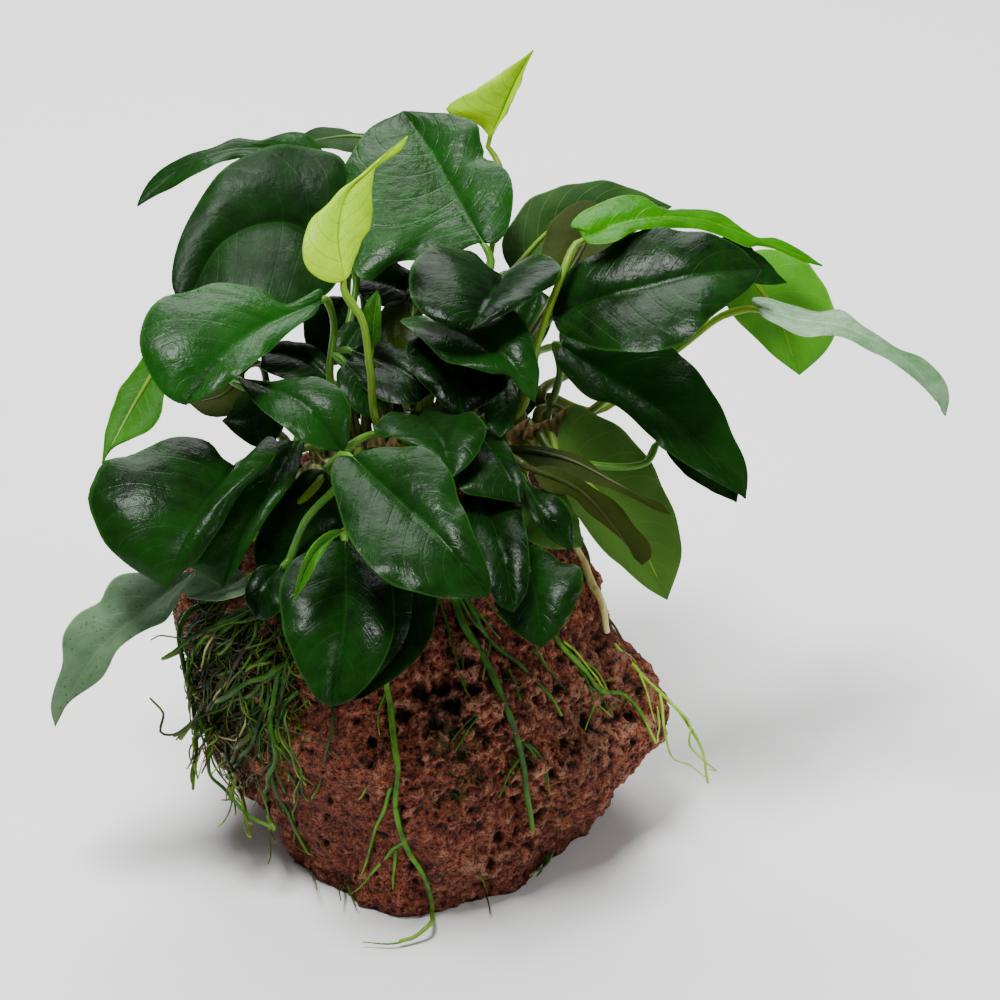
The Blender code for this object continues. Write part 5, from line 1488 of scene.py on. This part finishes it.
# %% Branches: name of the root they stand on, and their own places in the view
BRANCHES = {
    "front": [
        ([(393, 757), (380, 772), (368, 786), (360, 798)], (), 0.55),
        ([(392, 785), (386, 806), (378, 830), (370, 856), (361, 878)], (), 0.6),
        ([(397, 848), (396, 870), (394, 905)], (), 0.5),
        ([(405, 840), (392, 850), (376, 868), (361, 888), (352, 893)], (), 0.6),
        ([(386, 690), (378, 712), (380, 735)], (), 0.4),
        ([], [(416, 936, 3), (398, 943, 4), (380, 944, 4), (362, 942, 4)], 0.35),
    ],
    "right_thick": [
        ([(495, 697), (478, 716), (462, 738), (450, 758)], (), 0.45),
        ([(508, 670), (515, 684), (520, 700)], (), 0.4),
        ([(522, 742), (534, 756), (543, 774), (549, 792)], (), 0.5),
        ([(520, 755), (510, 768), (503, 784), (498, 797)], (), 0.45),
        ([(470, 640), (462, 662), (466, 684)], (), 0.5),
    ],
    "far_right": [
        ([(582, 672), (596, 700), (610, 716)], (), 0.4),
        ([(598, 690), (590, 712), (584, 730)], (), 0.35),
        ([(560, 648), (572, 655), (590, 668), (606, 690)], (), 0.5),
    ],
    "free_right": [
        ([], [(680, 712, -15), (692, 728, -12), (690, 746, -11), (704, 760, -10),
              (717, 770, -10), (708, 769, -9)], 0.4),
        ([], [(660, 694, -17), (664, 720, -15), (672, 757, -13), (690, 765, -12),
              (705, 777, -12)], 0.4),
        ([], [(640, 674, -20), (650, 700, -18), (655, 722, -17)], 0.35),
    ],
    "left_long": [
        ([(232, 660), (240, 700)], [(248, 745, -8), (262, 790, -6), (270, 830, -6)], 0.6),
    ],
    "left_edge": [
        ([], [(178, 636, -7), (188, 655, -3), (198, 668, -2)], 0.4),
        ([], [(192, 700, -8), (205, 725, -8), (214, 762, -9), (240, 800, -9)], 0.45),
    ],
    "left_out": [
        ([], [(205, 630, 4), (196, 645, 6), (192, 660, 6)], 0.35),
    ],
    "left_hook": [
        ([], [(174, 736, -3), (188, 728, -1), (206, 700, 0), (228, 668, 0)], 0.4),
    ],
    "pale_right": [
        ([], [(592, 585, -15), (600, 592, -12), (604, 612, -14)], 0.7),
    ],
}
branch_count = 0
for number, row in enumerate(ROOTS):
    piece = Piece(row["name"] + "_root")
    line = route_of(row["on_stone"], row["free"], row["radius_mm"])
    add_root(piece, line, row["radius_mm"] * ROOT_SLIM, 0, number, 0.6, 10)
    for order, (on, free, radius) in enumerate(BRANCHES.get(row["name"], [])):
        add_root(piece, route_of(on, free, radius), radius, 0, number * 7 + order, 0.4, 7, 0.5)
        branch_count += 1
    slot = "root_pale" if row["kind"] == "cream" else "root_green"
    piece.build([ROOT_FINISHES[row["kind"]]], slot, solid_of("root_" + row["name"]))
print(len(ROOTS), "main roots with", branch_count, "branches")

# %% [markdown]
# ## The thicket of roots on the left
# On the left the oldest part of the rhizome has covered the stone with a mat: dark green, olive
# and brown roots that cross one another, run down and outward, and let thin ends hang free. A
# particle system could grow such a mat, but we want each root to lie on the stone. So the
# clearest ones are listed one by one in the view, with their lift off the stone, and finer ones
# are drawn between them by rule. A place that misses the stone in the view takes the depth of the
# stone's nearest edge, so a free end hangs beside the stone and not somewhere in front of it.

# %% The clearest roots: finish, radius and lift in mm, and places in the view
GREEN, BRIGHT, OLIVE, BROWN, CREAM, FRESH = range(6)
THICKET = [
    (GREEN, 0.68, 1.0, [(270, 600), (248, 610), (226, 622), (205, 636), (186, 645), (162, 659)]),
    (GREEN, 0.6, 2.5, [(284, 612), (262, 618), (236, 622), (214, 630), (196, 632)]),
    (OLIVE, 0.26, 1.5, [(215, 630), (196, 634), (180, 640), (162, 636), (151, 640)]),
    (BRIGHT, 0.45, 1.0, [(224, 598), (206, 606), (192, 612), (183, 622)]),
    (BRIGHT, 0.52, 2.2, [(216, 596), (206, 604), (196, 608)]),
    (OLIVE, 0.45, 1.6, [(236, 600), (210, 604), (204, 620)]),
    (GREEN, 0.38, 1.0, [(182, 614), (178, 622), (184, 628), (196, 632)]),
    (GREEN, 0.75, 2.0, [(250, 614), (226, 632), (208, 648), (198, 662), (192, 690)]),
    (BRIGHT, 0.68, 3.0, [(232, 622), (214, 636), (202, 652), (196, 676), (194, 694)]),
    (BROWN, 0.52, 2.4, [(228, 620), (222, 640), (216, 656), (214, 668)]),
    (CREAM, 0.34, 3.4, [(226, 622), (220, 640), (210, 658), (206, 668)]),
    (BRIGHT, 0.6, 3.2, [(244, 618), (242, 636), (234, 648), (222, 650)]),
    (GREEN, 0.6, 2.0, [(262, 620), (256, 640), (244, 652), (230, 660)]),
    (BROWN, 0.68, 2.6, [(276, 628), (258, 642), (250, 656), (240, 672), (232, 690)]),
    (BROWN, 0.6, 1.6, [(282, 640), (264, 656), (252, 676), (246, 700), (240, 728)]),
    (BROWN, 0.45, 1.2, [(198, 658), (210, 668), (222, 676), (230, 684)]),
    (OLIVE, 0.38, 2.2, [(240, 672), (222, 676), (206, 672), (198, 664)]),
    (GREEN, 0.75, 1.4, [(288, 640), (268, 655), (246, 668), (226, 674), (212, 672)]),
    (GREEN, 0.83, 2.8, [(290, 660), (268, 674), (240, 690), (222, 702), (206, 715), (190, 726),
                       (180, 739)]),
    (OLIVE, 0.6, 2.0, [(284, 668), (256, 688), (230, 706), (206, 714), (196, 724)]),
    (GREEN, 0.6, 1.2, [(296, 676), (270, 700), (250, 716), (240, 730)]),
    (BRIGHT, 0.38, 3.6, [(276, 660), (262, 664), (254, 670), (244, 678)]),
    (GREEN, 0.75, 2.6, [(281, 668), (278, 700), (276, 730), (280, 750), (276, 772), (272, 800),
                       (274, 829)]),
    (BRIGHT, 0.38, 1.2, [(283, 668), (277, 690), (279, 720), (280, 750)]),
    (GREEN, 0.68, 2.0, [(270, 660), (266, 700), (262, 726), (252, 750), (236, 768), (231, 790)]),
    (OLIVE, 0.75, 3.0, [(262, 724), (254, 744), (240, 762), (233, 782), (230, 800)]),
    (GREEN, 0.6, 1.4, [(300, 690), (288, 704), (282, 724), (281, 742)]),
    (OLIVE, 0.38, 1.2, [(256, 716), (268, 734), (278, 748), (284, 762)]),
    (GREEN, 0.3, 0.8, [(283, 745), (290, 768), (296, 790), (294, 814)]),
    (BRIGHT, 0.26, 0.7, [(294, 812), (300, 832), (304, 844), (315, 854)]),
    (GREEN, 0.34, 0.8, [(276, 758), (282, 780), (286, 810)]),
    (BRIGHT, 0.3, 0.7, [(276, 796), (282, 806), (286, 812)]),
    (GREEN, 0.38, 0.8, [(292, 756), (302, 772), (307, 790), (309, 799)]),
    (GREEN, 0.41, 0.8, [(333, 707), (334, 726), (328, 752), (318, 774), (313, 796)]),
    (GREEN, 0.34, 0.7, [(299, 700), (294, 708), (292, 716)]),
    (OLIVE, 0.34, 1.0, [(284, 740), (276, 760), (258, 770), (248, 786), (245, 796)]),
    (GREEN, 0.38, 1.4, [(221, 720), (222, 736), (228, 750), (236, 756)]),
    (CREAM, 0.38, 3.8, [(232, 678), (220, 696), (220, 712), (230, 728), (242, 733), (250, 726),
                       (250, 704)]),
    (GREEN, 0.52, 0.8, [(200, 716), (203, 745), (212, 772), (230, 796), (248, 812), (272, 828)]),
    (OLIVE, 0.34, 1.0, [(200, 712), (197, 740), (194, 765), (193, 790)]),
    (BRIGHT, 0.3, 1.2, [(196, 720), (190, 742), (187, 769)]),
    (OLIVE, 0.3, 0.8, [(206, 718), (190, 728), (176, 740)]),
    (BRIGHT, 0.26, 0.8, [(232, 796), (226, 812), (219, 826)]),
    (BRIGHT, 0.26, 1.0, [(236, 798), (242, 816), (251, 837)]),
    (BRIGHT, 0.26, 1.2, [(242, 800), (247, 814), (252, 824)]),
    (OLIVE, 0.26, 0.8, [(230, 790), (232, 804), (235, 815)]),
    (BRIGHT, 0.26, 0.8, [(234, 794), (228, 800), (221, 800)]),
    (OLIVE, 0.3, 0.6, [(270, 826), (269, 844), (268, 864)]),
    (OLIVE, 0.22, 0.6, [(271, 827), (271, 837), (274, 843)]),
]
print(len(THICKET), "roots of the thicket are drawn by hand")


# %% Lay them, and draw finer ones between them
LAID_STEP_MM, LAID_POINTS = 1.1, (8, 60)
LAID_LIFT = 0.7


def near_stone(across, down, lift_mm):
    """A place on the stone, or beside it where the line of sight misses it."""
    if meets_stone(across, down) is not None:
        return on_stone(across, down, lift_mm)
    edge = on_stone(across, down, 0)
    return seen_at(across, down, (edge - VIEW_CENTRE_MM) @ TOWARD)


def laid_route(places, radius, lift):
    """A root's middle line over the stone, lifted off it in the middle of its length."""
    share = np.linspace(0, 1, len(places))
    arch = 0.35 + 0.65 * np.sin(math.pi * np.clip(share * 1.15, 0, 1))
    points = [near_stone(x, y, radius * LAID_LIFT + SKIN_GAP_MM + lift * a)
              for (x, y), a in zip(places, arch)]
    count = int(np.clip(length_of(np.array(points)) / LAID_STEP_MM, *LAID_POINTS))
    return smooth_curve(points, np.linspace(0, 1, count))


FINE_ROOTS = 210
FINE_ACROSS = (208, 292)
FINE_DOWN = (600, 720)
FINE_REACH_STEPS = (35, 105)
FINE_BENDS = 5
FINE_HEADING_DEGREES = 118
FINE_SPREAD_DEGREES = 28
FINE_TURN_PER_STEP = -0.12
FINE_WANDER = 0.3
FINE_KINDS = [GREEN, GREEN, OLIVE, OLIVE, BROWN, BRIGHT]
LEFT_EDGE, LOW_EDGE = 186, 800
draw = np.random.default_rng(7)
thicket_piece = Piece("left_root_thicket")
for number, (finish, radius, lift, places) in enumerate(THICKET):
    add_root(thicket_piece, laid_route(places, radius, lift), radius, finish, number, 0.75, 6,
             draw.uniform(-0.6, 0.6), 0.9)
for number in range(FINE_ROOTS):
    x, y = draw.uniform(*FINE_ACROSS), draw.uniform(*FINE_DOWN)
    heading = math.radians(draw.normal(FINE_HEADING_DEGREES + (y - 600) * FINE_TURN_PER_STEP,
                                       FINE_SPREAD_DEGREES))
    reach = draw.uniform(*FINE_REACH_STEPS) / FINE_BENDS
    places = [(x, y)]
    for _ in range(FINE_BENDS):
        heading += draw.normal(0, FINE_WANDER)
        x, y = x + reach * math.cos(heading), y + reach * math.sin(heading)
        places.append((max(x, LEFT_EDGE + 0.12 * abs(y - 680)), min(y, LOW_EDGE)))
    finish = int(draw.choice(FINE_KINDS))
    radius = draw.uniform(0.16, 0.38)
    line = laid_route(places, radius, draw.uniform(0, 3.0))
    add_root(thicket_piece, line, radius, finish, number + 90, 0.7, 5, draw.uniform(-1, 0.6), 1.1)
thicket_piece.build(list(ROOT_FINISHES.values()), "root_green")
print("the thicket has", len(thicket_piece.faces), "faces")

# %% [markdown]
# ## Fine roots on the rest of the stone
# Elsewhere the roots are few. Thin green ones come out from under the leaves at the front, and
# some bits hang at the foot. The photograph doesn't show the back. A rhizome that lies on a stone
# roots to both sides, so we let a few roots of the same kinds run down there too.

# %% Fine roots
FINE_FRONT = [
    (GREEN, 0.5, 0.7, [(460, 600), (474, 622), (487, 642), (484, 662), (482, 680)]),
    (GREEN, 0.45, 0.9, [(470, 604), (486, 622), (500, 640)]),
    (GREEN, 0.4, 0.6, [(440, 600), (448, 630), (456, 656), (462, 680), (470, 698)]),
    (BRIGHT, 0.35, 0.6, [(486, 600), (506, 622), (530, 640), (546, 668)]),
    (GREEN, 0.4, 0.6, [(530, 648), (546, 668), (562, 686), (587, 700)]),
    (FRESH, 0.4, 0.7, [(562, 642), (580, 660), (592, 676), (606, 692), (624, 694)]),
    (OLIVE, 0.35, 0.6, [(600, 690), (604, 704), (612, 716)]),
    (FRESH, 0.4, 0.8, [(616, 650), (632, 664), (648, 690), (656, 716), (658, 742)]),
    (GREEN, 0.35, 0.6, [(574, 664), (584, 684), (600, 692), (618, 708)]),
    (OLIVE, 0.35, 0.6, [(520, 764), (512, 776), (505, 792)]),
    (GREEN, 0.4, 0.6, [(524, 742), (536, 752), (544, 766), (548, 780)]),
    (OLIVE, 0.35, 0.5, [(450, 742), (462, 728), (480, 712), (490, 704)]),
    (BRIGHT, 0.4, 0.5, [(552, 848), (543, 860), (530, 876)]),
    (GREEN, 0.35, 0.4, [(546, 854), (540, 864), (538, 876)]),
    (BROWN, 0.4, 0.5, [(478, 866), (484, 888), (490, 914)]),
    (BRIGHT, 0.3, 0.4, [(476, 872), (482, 880), (487, 892)]),
    (OLIVE, 0.35, 0.4, [(312, 870), (314, 880), (317, 890)]),
    (BRIGHT, 0.4, 0.5, [(350, 884), (353, 894), (356, 905)]),
    (OLIVE, 0.35, 0.4, [(344, 884), (340, 892), (341, 901)]),
]
BACK_ROOTS = 16
BACK_TURNS = (8, 176)
BACK_TOPS_MM, BACK_ENDS_MM = (72, 84), (8, 50)
BACK_RADII_MM = (0.35, 0.9)
BACK_STEPS_MM = (6, 10)
STONE_AXIS_MM = np.array([*STONE_LEVELS_MM[2][1], 0.0])


def on_side(turn, height, lift_mm):
    """A place on the stone's side by its turn round the stone and its height."""
    way = Vector((math.cos(math.radians(turn)), math.sin(math.radians(turn)), 0))
    start = Vector(STONE_AXIS_MM + np.array([0, 0, height])) + way * SIGHT_LINE_MM
    hit, facing, _, _ = stone_tree.ray_cast(start * MM, -way)
    return np.array(hit) / MM + np.array(facing) * lift_mm


fine_piece = Piece("fine_roots")
for number, (finish, radius, lift, places) in enumerate(FINE_FRONT):
    add_root(fine_piece, laid_route(places, radius, lift), radius, finish, number + 300, 0.4, 6,
             draw.uniform(-0.4, 0.8), 0.35)
for number in range(BACK_ROOTS):
    turn = np.interp(number, (0, BACK_ROOTS - 1), BACK_TURNS) + draw.normal(0, 4)
    height, low = draw.uniform(*BACK_TOPS_MM), draw.uniform(*BACK_ENDS_MM)
    radius = draw.uniform(*BACK_RADII_MM)
    points = []
    while height > low:
        points.append(on_side(turn, height, radius * LAID_LIFT + SKIN_GAP_MM))
        turn += draw.normal(0, 3.5)
        height -= draw.uniform(*BACK_STEPS_MM)
    if len(points) > 2:
        line = smooth_curve(points, np.linspace(0, 1, 8 * len(points)))
        kind = int(draw.choice([GREEN, BRIGHT, OLIVE]))
        add_root(fine_piece, line, radius, kind, number + 400, 0.45, 7, draw.uniform(-0.5, 0.5))
fine_piece.build(list(ROOT_FINISHES.values()), "root_green")
print("the fine roots have", len(fine_piece.faces), "faces")

# %% [markdown]
# ## Moss
# A soft water moss grows between the roots and in the damp hollows. Each stem is one to three
# millimetres long and a quarter of a millimetre thick. We draw single stems, each a thin
# three-sided shoot that stands on the stone and droops, where the photograph shows green fuzz.

# %% Moss stems: across, down, spread across and down, and how many
MOSS_TUFTS = [(222, 770, 12, 22, 260), (200, 606, 18, 8, 160), (238, 640, 26, 26, 300),
              (250, 690, 26, 30, 240), (208, 690, 10, 26, 160), (262, 750, 14, 24, 160),
              (448, 738, 16, 16, 90), (462, 776, 14, 16, 60), (300, 726, 8, 10, 60),
              (520, 752, 12, 14, 60), (600, 690, 16, 10, 60), (384, 770, 10, 22, 40),
              (520, 690, 14, 16, 40), (340, 888, 10, 6, 50), (232, 800, 8, 8, 60)]
MOSS_ABOVE_MM = 4.0
MOSS_REACH_MM = (1.0, 3.4)
MOSS_RADII_MM = [0.13, 0.11, 0.05]
MOSS_YELLOW_SHARE = 0.4
moss_piece = Piece("moss_stems")
for across, down, wide, tall, count in MOSS_TUFTS:
    for _ in range(count):
        x, y = draw.normal(across, wide), draw.normal(down, tall)
        met = meets_stone(x, y)
        if met is None or met[0][2] < MOSS_ABOVE_MM:
            continue
        root_place, facing = met
        aim = unit(facing + draw.normal(0, 0.55, 3) + np.array([0, 0, -0.25]))
        reach = draw.uniform(*MOSS_REACH_MM)
        bend = unit(aim + draw.normal(0, 0.5, 3) + np.array([0, 0, -0.5]))
        line = [root_place - facing * 0.4, root_place + aim * reach * 0.5,
                root_place + aim * reach * 0.5 + bend * reach * 0.5]
        points, faces = shoot(line, MOSS_RADII_MM, 3)
        moss_piece.add(points, faces, int(draw.random() < MOSS_YELLOW_SHARE),
                       shoot_place(line, 3, draw.uniform(-1, 1)))
moss_green = root_finish("moss, dark green", "#2c4c0a", "#101e04", "#46681a")
moss_yellow = root_finish("moss, yellow green", "#647c16", "#2c440a", "#8c9430")
moss_piece.build([moss_green, moss_yellow], "root_green")
print("the moss has", len(moss_piece.faces), "faces")

# %% [markdown]
# ## The rhizome and its papery sheaths
# The rhizome is a creeping stem as thick as a finger's tip is wide. Every leaf that fell left a
# ring, so it looks like a small knobbly bamboo. Its skin is green where light falls, and brown
# below. Dry brown sheaths, as thin as onion skin, still stand round the feet of the stalks. We
# make the stem as a shoot whose radius dips at each scar, and each sheath as a small curled
# sheet.

# %% Rhizome
RHIZOME_RINGS = 12
RHIZOME_LINES = 90
RHIZOME_CORNERS = 20
SCAR_DEPTH = 0.16
SKIN_LUMP_MM, SKIN_LUMP_HEIGHT_MM = 3.0, 0.5
rhizome_piece = Piece("creeping_rhizome")
line = smooth_curve([seen_at(*p) for p in RHIZOME_ROUTE], np.linspace(0, 1, RHIZOME_LINES))
share = np.linspace(0, 1, RHIZOME_LINES)
scar = np.abs(np.cos(math.pi * share * RHIZOME_RINGS)) ** 6
ends = np.clip(np.minimum(share, 1 - share) * 12, 0, 1) ** 0.5
radii = RHIZOME_RADIUS_MM * (1 - SCAR_DEPTH * scar) * (0.45 + 0.55 * ends)
points, faces = shoot(line, radii, RHIZOME_CORNERS)
lumps = np.array([noise.noise(Vector(p) / SKIN_LUMP_MM) for p in points])
middles = np.vstack([np.repeat(line, RHIZOME_CORNERS, axis=0), line[:1], line[-1:]])
points += unit(points - middles) * (lumps * SKIN_LUMP_HEIGHT_MM)[:, None]
rhizome_piece.add(points, faces, 0, shoot_place(line, RHIZOME_CORNERS))
print("the rhizome has", len(faces), "faces")


# %% A papery sheath
SHEATH_SKIN_MM = 0.08
SHEATH_CURL = 1.15


def add_sheath(piece, foot, aim, length, width, finish, seed):
    """A curled pointed sheet that stands round a stalk's foot."""
    aim = unit(np.array(aim, float))
    side = unit(np.cross(aim, (0.3, 1, 0.2)))
    out = np.cross(side, aim)
    rows, half = 14, 4
    grid = []
    for i in range(rows):
        v = i / (rows - 1)
        reach = width / 2 * (1 - v ** 1.6) * (1 + 0.15 * math.sin(seed + v * 9))
        bend = out * (length * 0.25 * v * v)
        for j in range(-half, half + 1):
            turn = j / half * SHEATH_CURL
            grid.append(np.array(foot) + aim * length * v + bend
                        + side * reach * math.sin(turn) - out * reach * (1 - math.cos(turn)))
    grid = np.array(grid)
    columns = 2 * half + 1
    skin = out * SHEATH_SKIN_MM
    both = np.vstack([grid + skin, grid - skin])
    v = np.tile(np.repeat(np.linspace(0, 1, rows), columns), 2)
    place = np.stack([np.zeros(len(both)), v, np.full(len(both), math.sin(seed * 5))], axis=1)
    piece.add(both, closed_sheet(rows, columns).tolist(), finish, place)


SHEATHS = [((378, 447, 2), (0.1, -0.2, 1), 9, 5), ((386, 452, 2), (0.5, -0.3, 1), 7, 4),
           ((508, 440, -8), (0.6, -0.3, 0.8), 9, 5), ((520, 434, -10), (0.9, -0.2, 0.5), 8, 4),
           ((498, 446, -8), (-0.2, -0.4, 1), 7, 5), ((345, 455, -4), (-0.4, -0.2, 1), 8, 5),
           ((440, 442, -8), (0.0, 0.4, 1), 8, 5), ((546, 432, -16), (0.8, 0.2, 0.8), 9, 5),
           ((325, 465, -4), (-0.8, 0.1, 0.8), 7, 4), ((470, 440, -18), (0.2, 0.9, 0.7), 8, 5),
           ((400, 448, -18), (-0.2, 0.9, 0.8), 8, 5), ((360, 462, -16), (-0.4, 0.9, 0.6), 7, 4),
           ((555, 430, -26), (0.7, 0.8, 0.5), 7, 4), ((316, 476, -8), (-1.0, -0.2, 0.3), 7, 4)]
for seed, (spot, aim, length, width) in enumerate(SHEATHS):
    add_sheath(rhizome_piece, seen_at(*spot), aim, length, width, 1, seed)
print(len(SHEATHS), "papery sheaths")

# %% [markdown]
# ## Finish: rhizome skin and dry sheath
# The skin is soft green bark that browns with age, satin rather than glossy. The sheaths are dead
# and dry: a warm brown fibre paper, matt, with long fibres.

# %% Bark and paper
FIBRE_MM = 6.0


def stem_bark(name, light, dark, cloud_mm, rough_low):
    """Two colours in clouds and rings, with a skin relief."""
    made, tree = new_material(name)
    where = add_node(tree, "TexCoord").outputs["Object"]
    cloud = add_node(tree, "TexNoise", {"Vector": where, "Scale": PER_MM / cloud_mm,
                                        "Detail": 6.0, "Roughness": 0.65}).outputs["Fac"]
    fibre = add_node(tree, "TexWave", {"Vector": where, "Scale": PER_MM / FIBRE_MM,
                                       "Distortion": 6.0, "Detail": 3.0}).outputs["Fac"]
    blend = add_node(tree, "Math", {0: fibre, 1: 0.25, 2: cloud},
                     operation="MULTIPLY_ADD").outputs[0]
    amount = add_node(tree, "MapRange", {0: blend, 1: 0.4, 2: 0.85}).outputs[0]
    colour = add_node(tree, "Mix", {FACTOR: amount, COLOUR_A: linear(dark),
                                    COLOUR_B: linear(light)}, data_type="RGBA").outputs[MIXED]
    bump = add_node(tree, "Bump", {"Strength": 1.0, "Distance": 0.25 * MM,
                                   "Height": blend}).outputs[0]
    rough = add_node(tree, "MapRange", {0: cloud, 3: rough_low, 4: rough_low + 0.25}).outputs[0]
    shader = add_node(tree, "BsdfPrincipled", {
        "Base Color": colour, "Roughness": rough, "Normal": bump, "IOR": 1.45})
    add_node(tree, "OutputMaterial", {"Surface": shader.outputs[0]})
    return made


rhizome_skin = stem_bark("rhizome skin", "#7d8a3c", "#4a3a1e", 3.5, 0.45)
sheath_paper = stem_bark("dry sheath, brown paper", "#a08a4e", "#5a4426", 2.0, 0.6)
rhizome_piece.build([rhizome_skin, sheath_paper], "rhizome", ["rhizome"])
print("rhizome and sheaths are built")

# %% [markdown]
# ## Table and studio light
# A waxy plant shows its shape by what its leaves mirror. So the light comes from a few large soft
# boxes, as in a small photo studio: a broad one above and behind, which lays the pale sheen on
# the upper leaves, one high above and a little to the front left for the main shading, and a weak
# one from the right. The table is pale and plain, and large enough to fill the view.

# %% Table
def table_finish(name):
    """Pale matt board with the faintest cloud in its white."""
    made, tree = new_material(name)
    where = add_node(tree, "TexCoord").outputs["Object"]
    cloud = add_node(tree, "TexNoise", {"Vector": where, "Scale": 6.0,
                                        "Detail": 3.0}).outputs["Fac"]
    colour = add_node(tree, "Mix", {FACTOR: cloud, COLOUR_A: linear("#f4f4f3"),
                                    COLOUR_B: linear("#fbfbfa")}, data_type="RGBA")
    shader = add_node(tree, "BsdfPrincipled", {"Base Color": colour.outputs[MIXED],
                                               "Roughness": 0.8})
    add_node(tree, "OutputMaterial", {"Surface": shader.outputs[0]})
    return made


TABLE_REACH_M = 6.0
corners = [(x * TABLE_REACH_M, y * TABLE_REACH_M, 0)
           for x, y in ((-1, -1), (1, -1), (1, 1), (-1, 1))]
table_mesh = bpy.data.meshes.new("table")
table_mesh.from_pydata(corners, [], [(0, 1, 2, 3)])
table_mesh.materials.append(table_finish("white board"))
table = bpy.data.objects.new("table", table_mesh)
bpy.context.scene.collection.objects.link(table)
print("the table reaches", TABLE_REACH_M, "m each way")

# %% Lights: place in m, where it looks, size in m and power in W
SOFT_BOXES = {
    "sky behind": ((-0.05, 0.8, 1.05), (0.0, 0.0, 0.11), 0.7, 15.0),
    "key above": ((-0.25, -0.15, 1.5), (0.0, 0.0, 0.08), 0.44, 35.0),
    "fill right": ((1.1, -0.75, 0.7), (0.0, 0.0, 0.08), 0.25, 5.0),
}
for name, (place, aim, size, power) in SOFT_BOXES.items():
    light_data = bpy.data.lights.new(name, "AREA")
    light_data.shape = "SQUARE"
    light_data.size = size
    light_data.energy = power
    light = bpy.data.objects.new(name, light_data)
    light.location = place
    light.rotation_euler = (Vector(aim) - Vector(place)).to_track_quat("-Z", "Y").to_euler()
    bpy.context.scene.collection.objects.link(light)
ROOM_LIGHT = 0.18
world = bpy.data.worlds.new("white studio")
world.use_nodes = True
room = world.node_tree.nodes["Background"]
room.inputs[0].default_value = (1, 1, 1, 1)
room.inputs[1].default_value = ROOM_LIGHT
bpy.context.scene.world = world
print(len(SOFT_BOXES), "soft boxes and a white room")

# %% [markdown]
# ## Last step
# The view layer is updated, so that every piece stands in its place.

# %% Update the view layer
bpy.context.view_layer.update()
